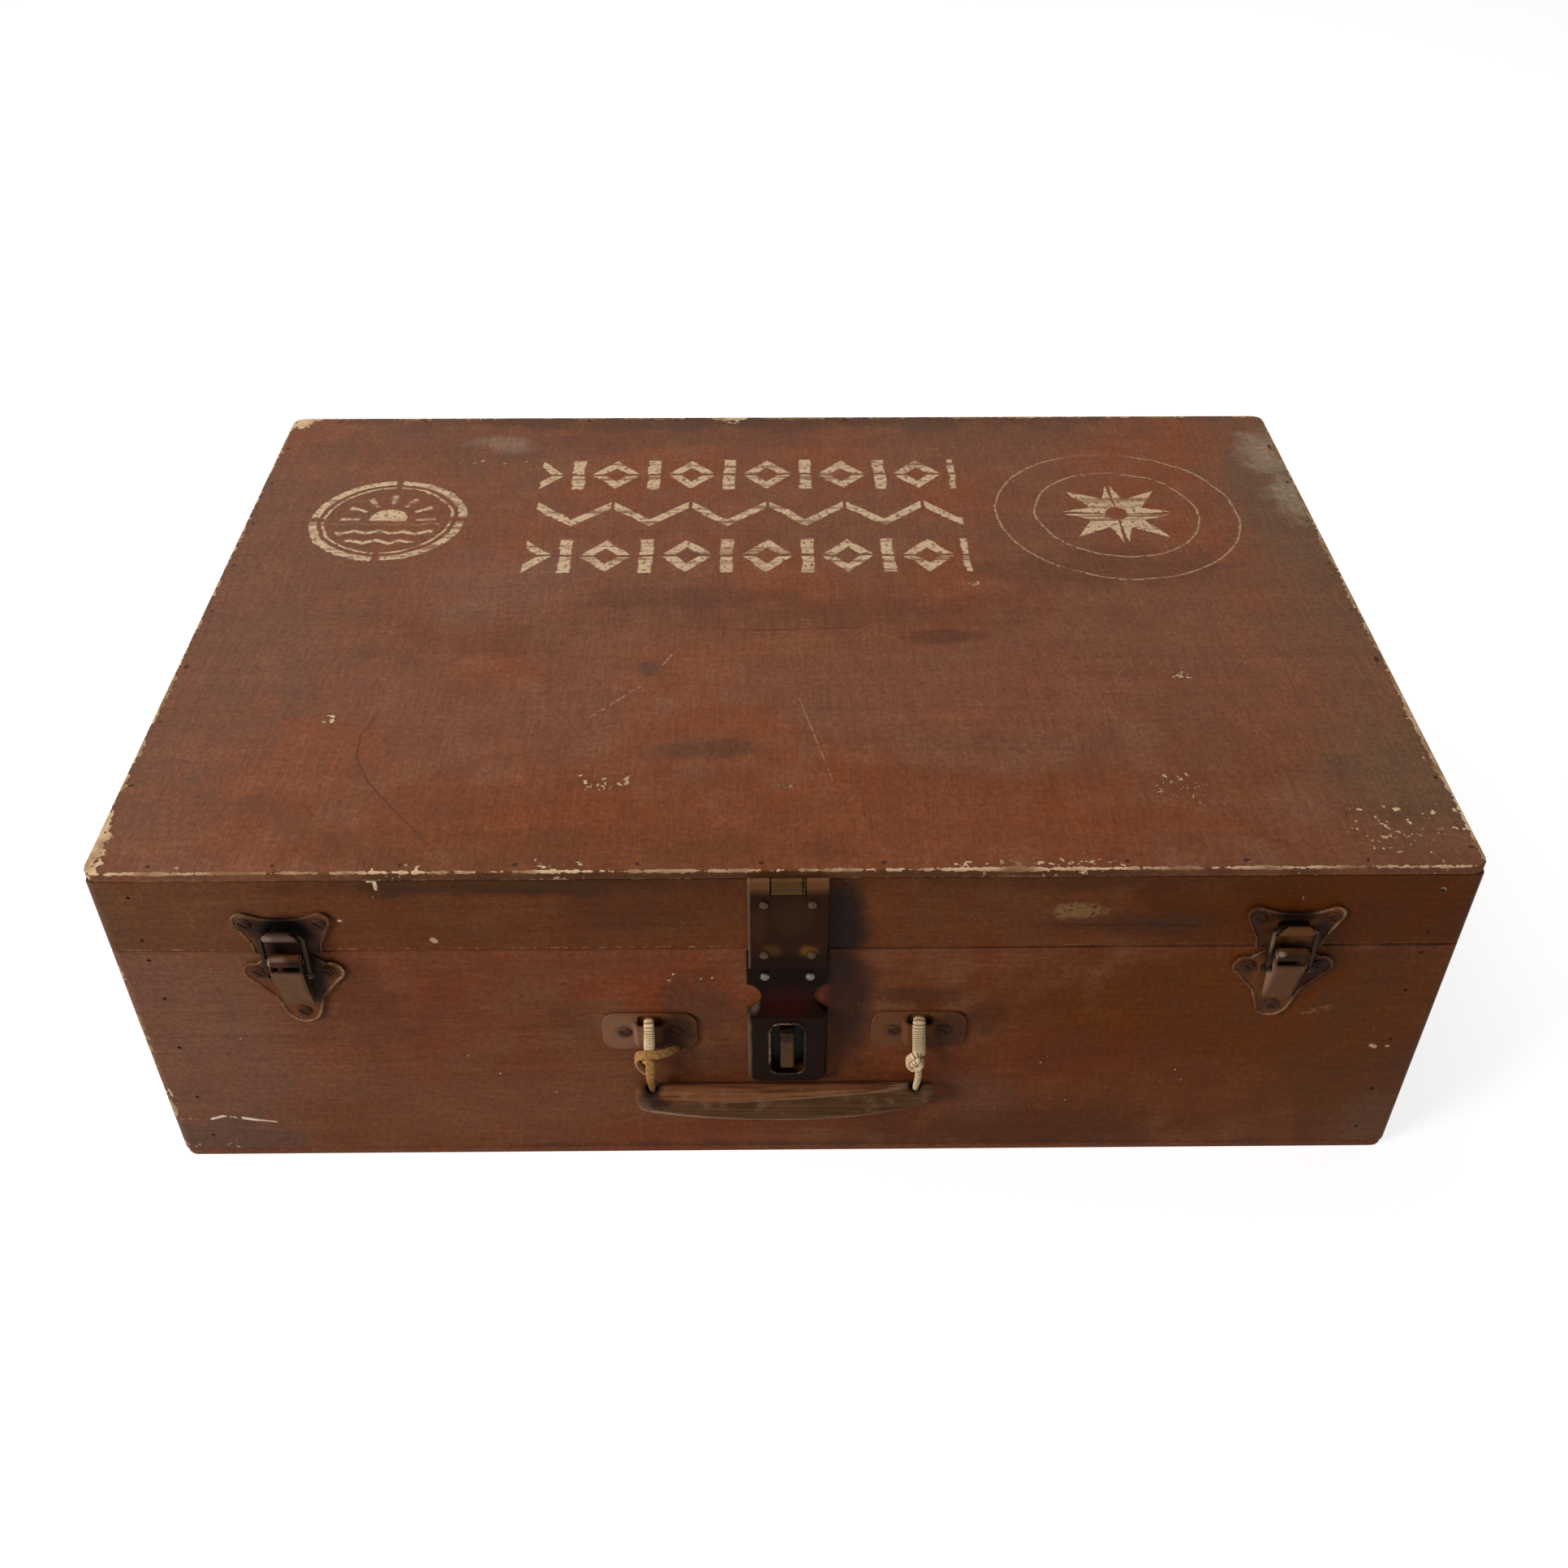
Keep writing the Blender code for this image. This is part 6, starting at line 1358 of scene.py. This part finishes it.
# The ends of the names of the CAD nodes that wear each finish, without left and right. The first that
# fits counts, and all others wear blackened steel.
WEARERS = {
    "lid_top_paint": ("lid_top_panel",),
    "lid_front_paint": ("lid_front_board",),
    "base_front_paint": ("base_front_board",),
    "side_paint": ("_board", "_panel"),
    "sawn_pine": ("_post",),
    "overpainted_steel": ("latch_plate", "catch_plate", "handle_plate", "hinge_base_leaf", "hinge_lid_leaf"),
    "overpainted_lever": ("lever",),
    "hasp_steel": ("hasp_plate",),
    "lock_steel": ("lock_case",),
    "tarnished_brass": ("hasp_lid_leaf", "hasp_pin"),
    "rivet_steel": ("_rivet",),
    "slide_brass": ("lock_thumb_slide",),
    "bare_steel": ("lock_nail", "lock_spring"),
    "grip_hide": ("handle_grip",),
    "strap_hide": ("tie_loop", "tie_tail"),
}


@dataclass
class Finishes:
    """Every finish of the trunk, and the CAD nodes that wear it."""

    made: dict[str, Material] = field(default_factory=dict)

    def build(self) -> None:
        """Make every material once."""
        for finish in (LID_TOP, LID_FRONT, BASE_FRONT, SIDES, BareWood(), *METALS_AND_HIDES, Twine()):
            self.made[finish.name] = finish.build()
        LOG.info("finishes: %d", len(self.made))

    def finish_for(self, node: str) -> str:
        """The name of the finish that a CAD node wears."""
        plain = node.replace("left_", "").replace("right_", "")
        for finish, wearers in WEARERS.items():
            if plain.endswith(wearers):
                return finish
        return "blackened_steel"

    def dress(self, nodes: dict[str, Thing]) -> None:
        """Give every CAD node its finish."""
        for name, thing in nodes.items():
            material = self.made[self.finish_for(name)]
            if not thing.material_slots:
                thing.data.materials.append(material)
            for place in thing.material_slots:
                place.material = material


@dataclass
class Studio:
    """A pale floor, a soft sky and two big lamps, and the camera of the photograph."""

    focal: float = 1979.87
    frame_size: float = 1932.0
    sensor: float = 36.0
    eye: Point = (-0.0084, -0.7055, 0.6589)
    right: Point = (0.999935, -0.011165, 0.002314)
    down: Point = (-0.005403, -0.642638, -0.766151)
    ahead: Point = (0.010041, 0.766088, -0.642657)

    def camera(self) -> None:
        """Place the camera: its columns are right, up and back, and its lens is focal over frame."""
        lens = bpy.data.cameras.new("photo_camera")
        lens.sensor_width = self.sensor
        lens.lens = self.sensor * self.focal / self.frame_size
        lens.clip_start = 0.01
        camera = bpy.data.objects.new("photo_camera", lens)
        columns = (Vector(self.right), -Vector(self.down), -Vector(self.ahead))
        turn = Matrix(columns).transposed().to_4x4()
        camera.matrix_world = Matrix.Translation(self.eye) @ turn
        bpy.context.scene.collection.objects.link(camera)
        bpy.context.scene.camera = camera

    def lamp(self, name: str, place: tuple, target: tuple, size: float, watts: float, colour: str) -> None:
        """A square soft lamp that looks at a target."""
        light = bpy.data.lights.new(name, "AREA")
        light.size = size
        light.energy = watts
        light.color = linear(colour)[:3]
        lamp = bpy.data.objects.new(name, light)
        lamp.location = place
        lamp.rotation_euler = (Vector(target) - Vector(place)).to_track_quat("-Z", "Y").to_euler()
        bpy.context.scene.collection.objects.link(lamp)

    def seen_white(self, tree: bpy.types.NodeTree) -> object:
        """1 for rays that show the background: camera, glossy and transmission rays."""
        path = tree.nodes.new("ShaderNodeLightPath")
        seen = path.outputs["Is Camera Ray"]
        for ray in ("Is Glossy Ray", "Is Transmission Ray"):
            seen = add_node(tree, MATH, {"operation": "MAXIMUM"}, {0: seen, 1: path.outputs[ray]})
        return seen

    def world(self) -> None:
        """A soft sky that lights the case, and shows white behind it."""
        world = bpy.data.worlds.new("sky")
        world.use_nodes = True
        bpy.context.scene.world = world
        tree = world.node_tree
        shine = tree.nodes["Background"]
        shine.inputs["Color"].default_value = (1, 1, 1, 1)
        strength = add_node(tree, RANGE, {}, {0: self.seen_white(tree), 1: 0.0, 2: 1.0, 3: 0.20, 4: 1.0})
        tree.links.new(strength, shine.inputs["Strength"])

    def floor(self) -> None:
        """A wide grey floor that a camera ray sees lifted to white, with the case's shadow on it."""
        reach = np.array([-3.0, 3.0])
        x, y = np.meshgrid(reach, reach, indexing="ij")
        grid = np.stack([x, y, np.full_like(x, -0.0002)], axis=-1)
        floor = sheet_mesh("floor", grid[None], (False, False))
        material = bpy.data.materials.new("studio_floor")
        material.use_nodes = True
        tree = material.node_tree
        surface = tree.nodes["Principled BSDF"]
        wanted = {"Base Color": (0.5, 0.5, 0.5, 1), "Roughness": 1.0, "Specular IOR Level": 0.0,
                  "Emission Color": (1, 1, 1, 1)}
        for name, value in wanted.items():
            surface.inputs[name].default_value = value
        lift = add_node(tree, MATH, {"operation": "MULTIPLY"}, {0: self.seen_white(tree), 1: 0.80})
        tree.links.new(lift, surface.inputs["Emission Strength"])
        floor.data.materials.append(material)

    def build(self) -> None:
        """Set up the camera, lamps, sky and floor."""
        self.camera()
        self.lamp("window_lamp", (-1.9, -1.3, 1.1), (0, -0.2, 0.1), 0.8, 42.0, "#fff8f0")
        self.lamp("ceiling_lamp", (-0.7, 0.8, 2.0), (0, 0, 0.2), 1.4, 22.0, "#fffaf4")
        self.world()
        self.floor()
        bpy.context.scene.view_settings.view_transform = "Standard"


def main() -> None:
    """Dress the frame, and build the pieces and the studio."""
    logging.basicConfig(level=logging.INFO, format="%(name)s %(message)s")
    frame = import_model()
    finishes = Finishes()
    finishes.build()
    finishes.dress(frame["nodes"])
    Nails().build(finishes.made["rusty_nail"])
    StrapTie(TIE_PLACES[0]).build(finishes.made)
    TwineTie(TIE_PLACES[1]).build(finishes.made)
    Grip().build(finishes.made["grip_hide"])
    Spring().build(finishes.made["bare_steel"])
    Studio().build()


if __name__ == "__main__":
    main()
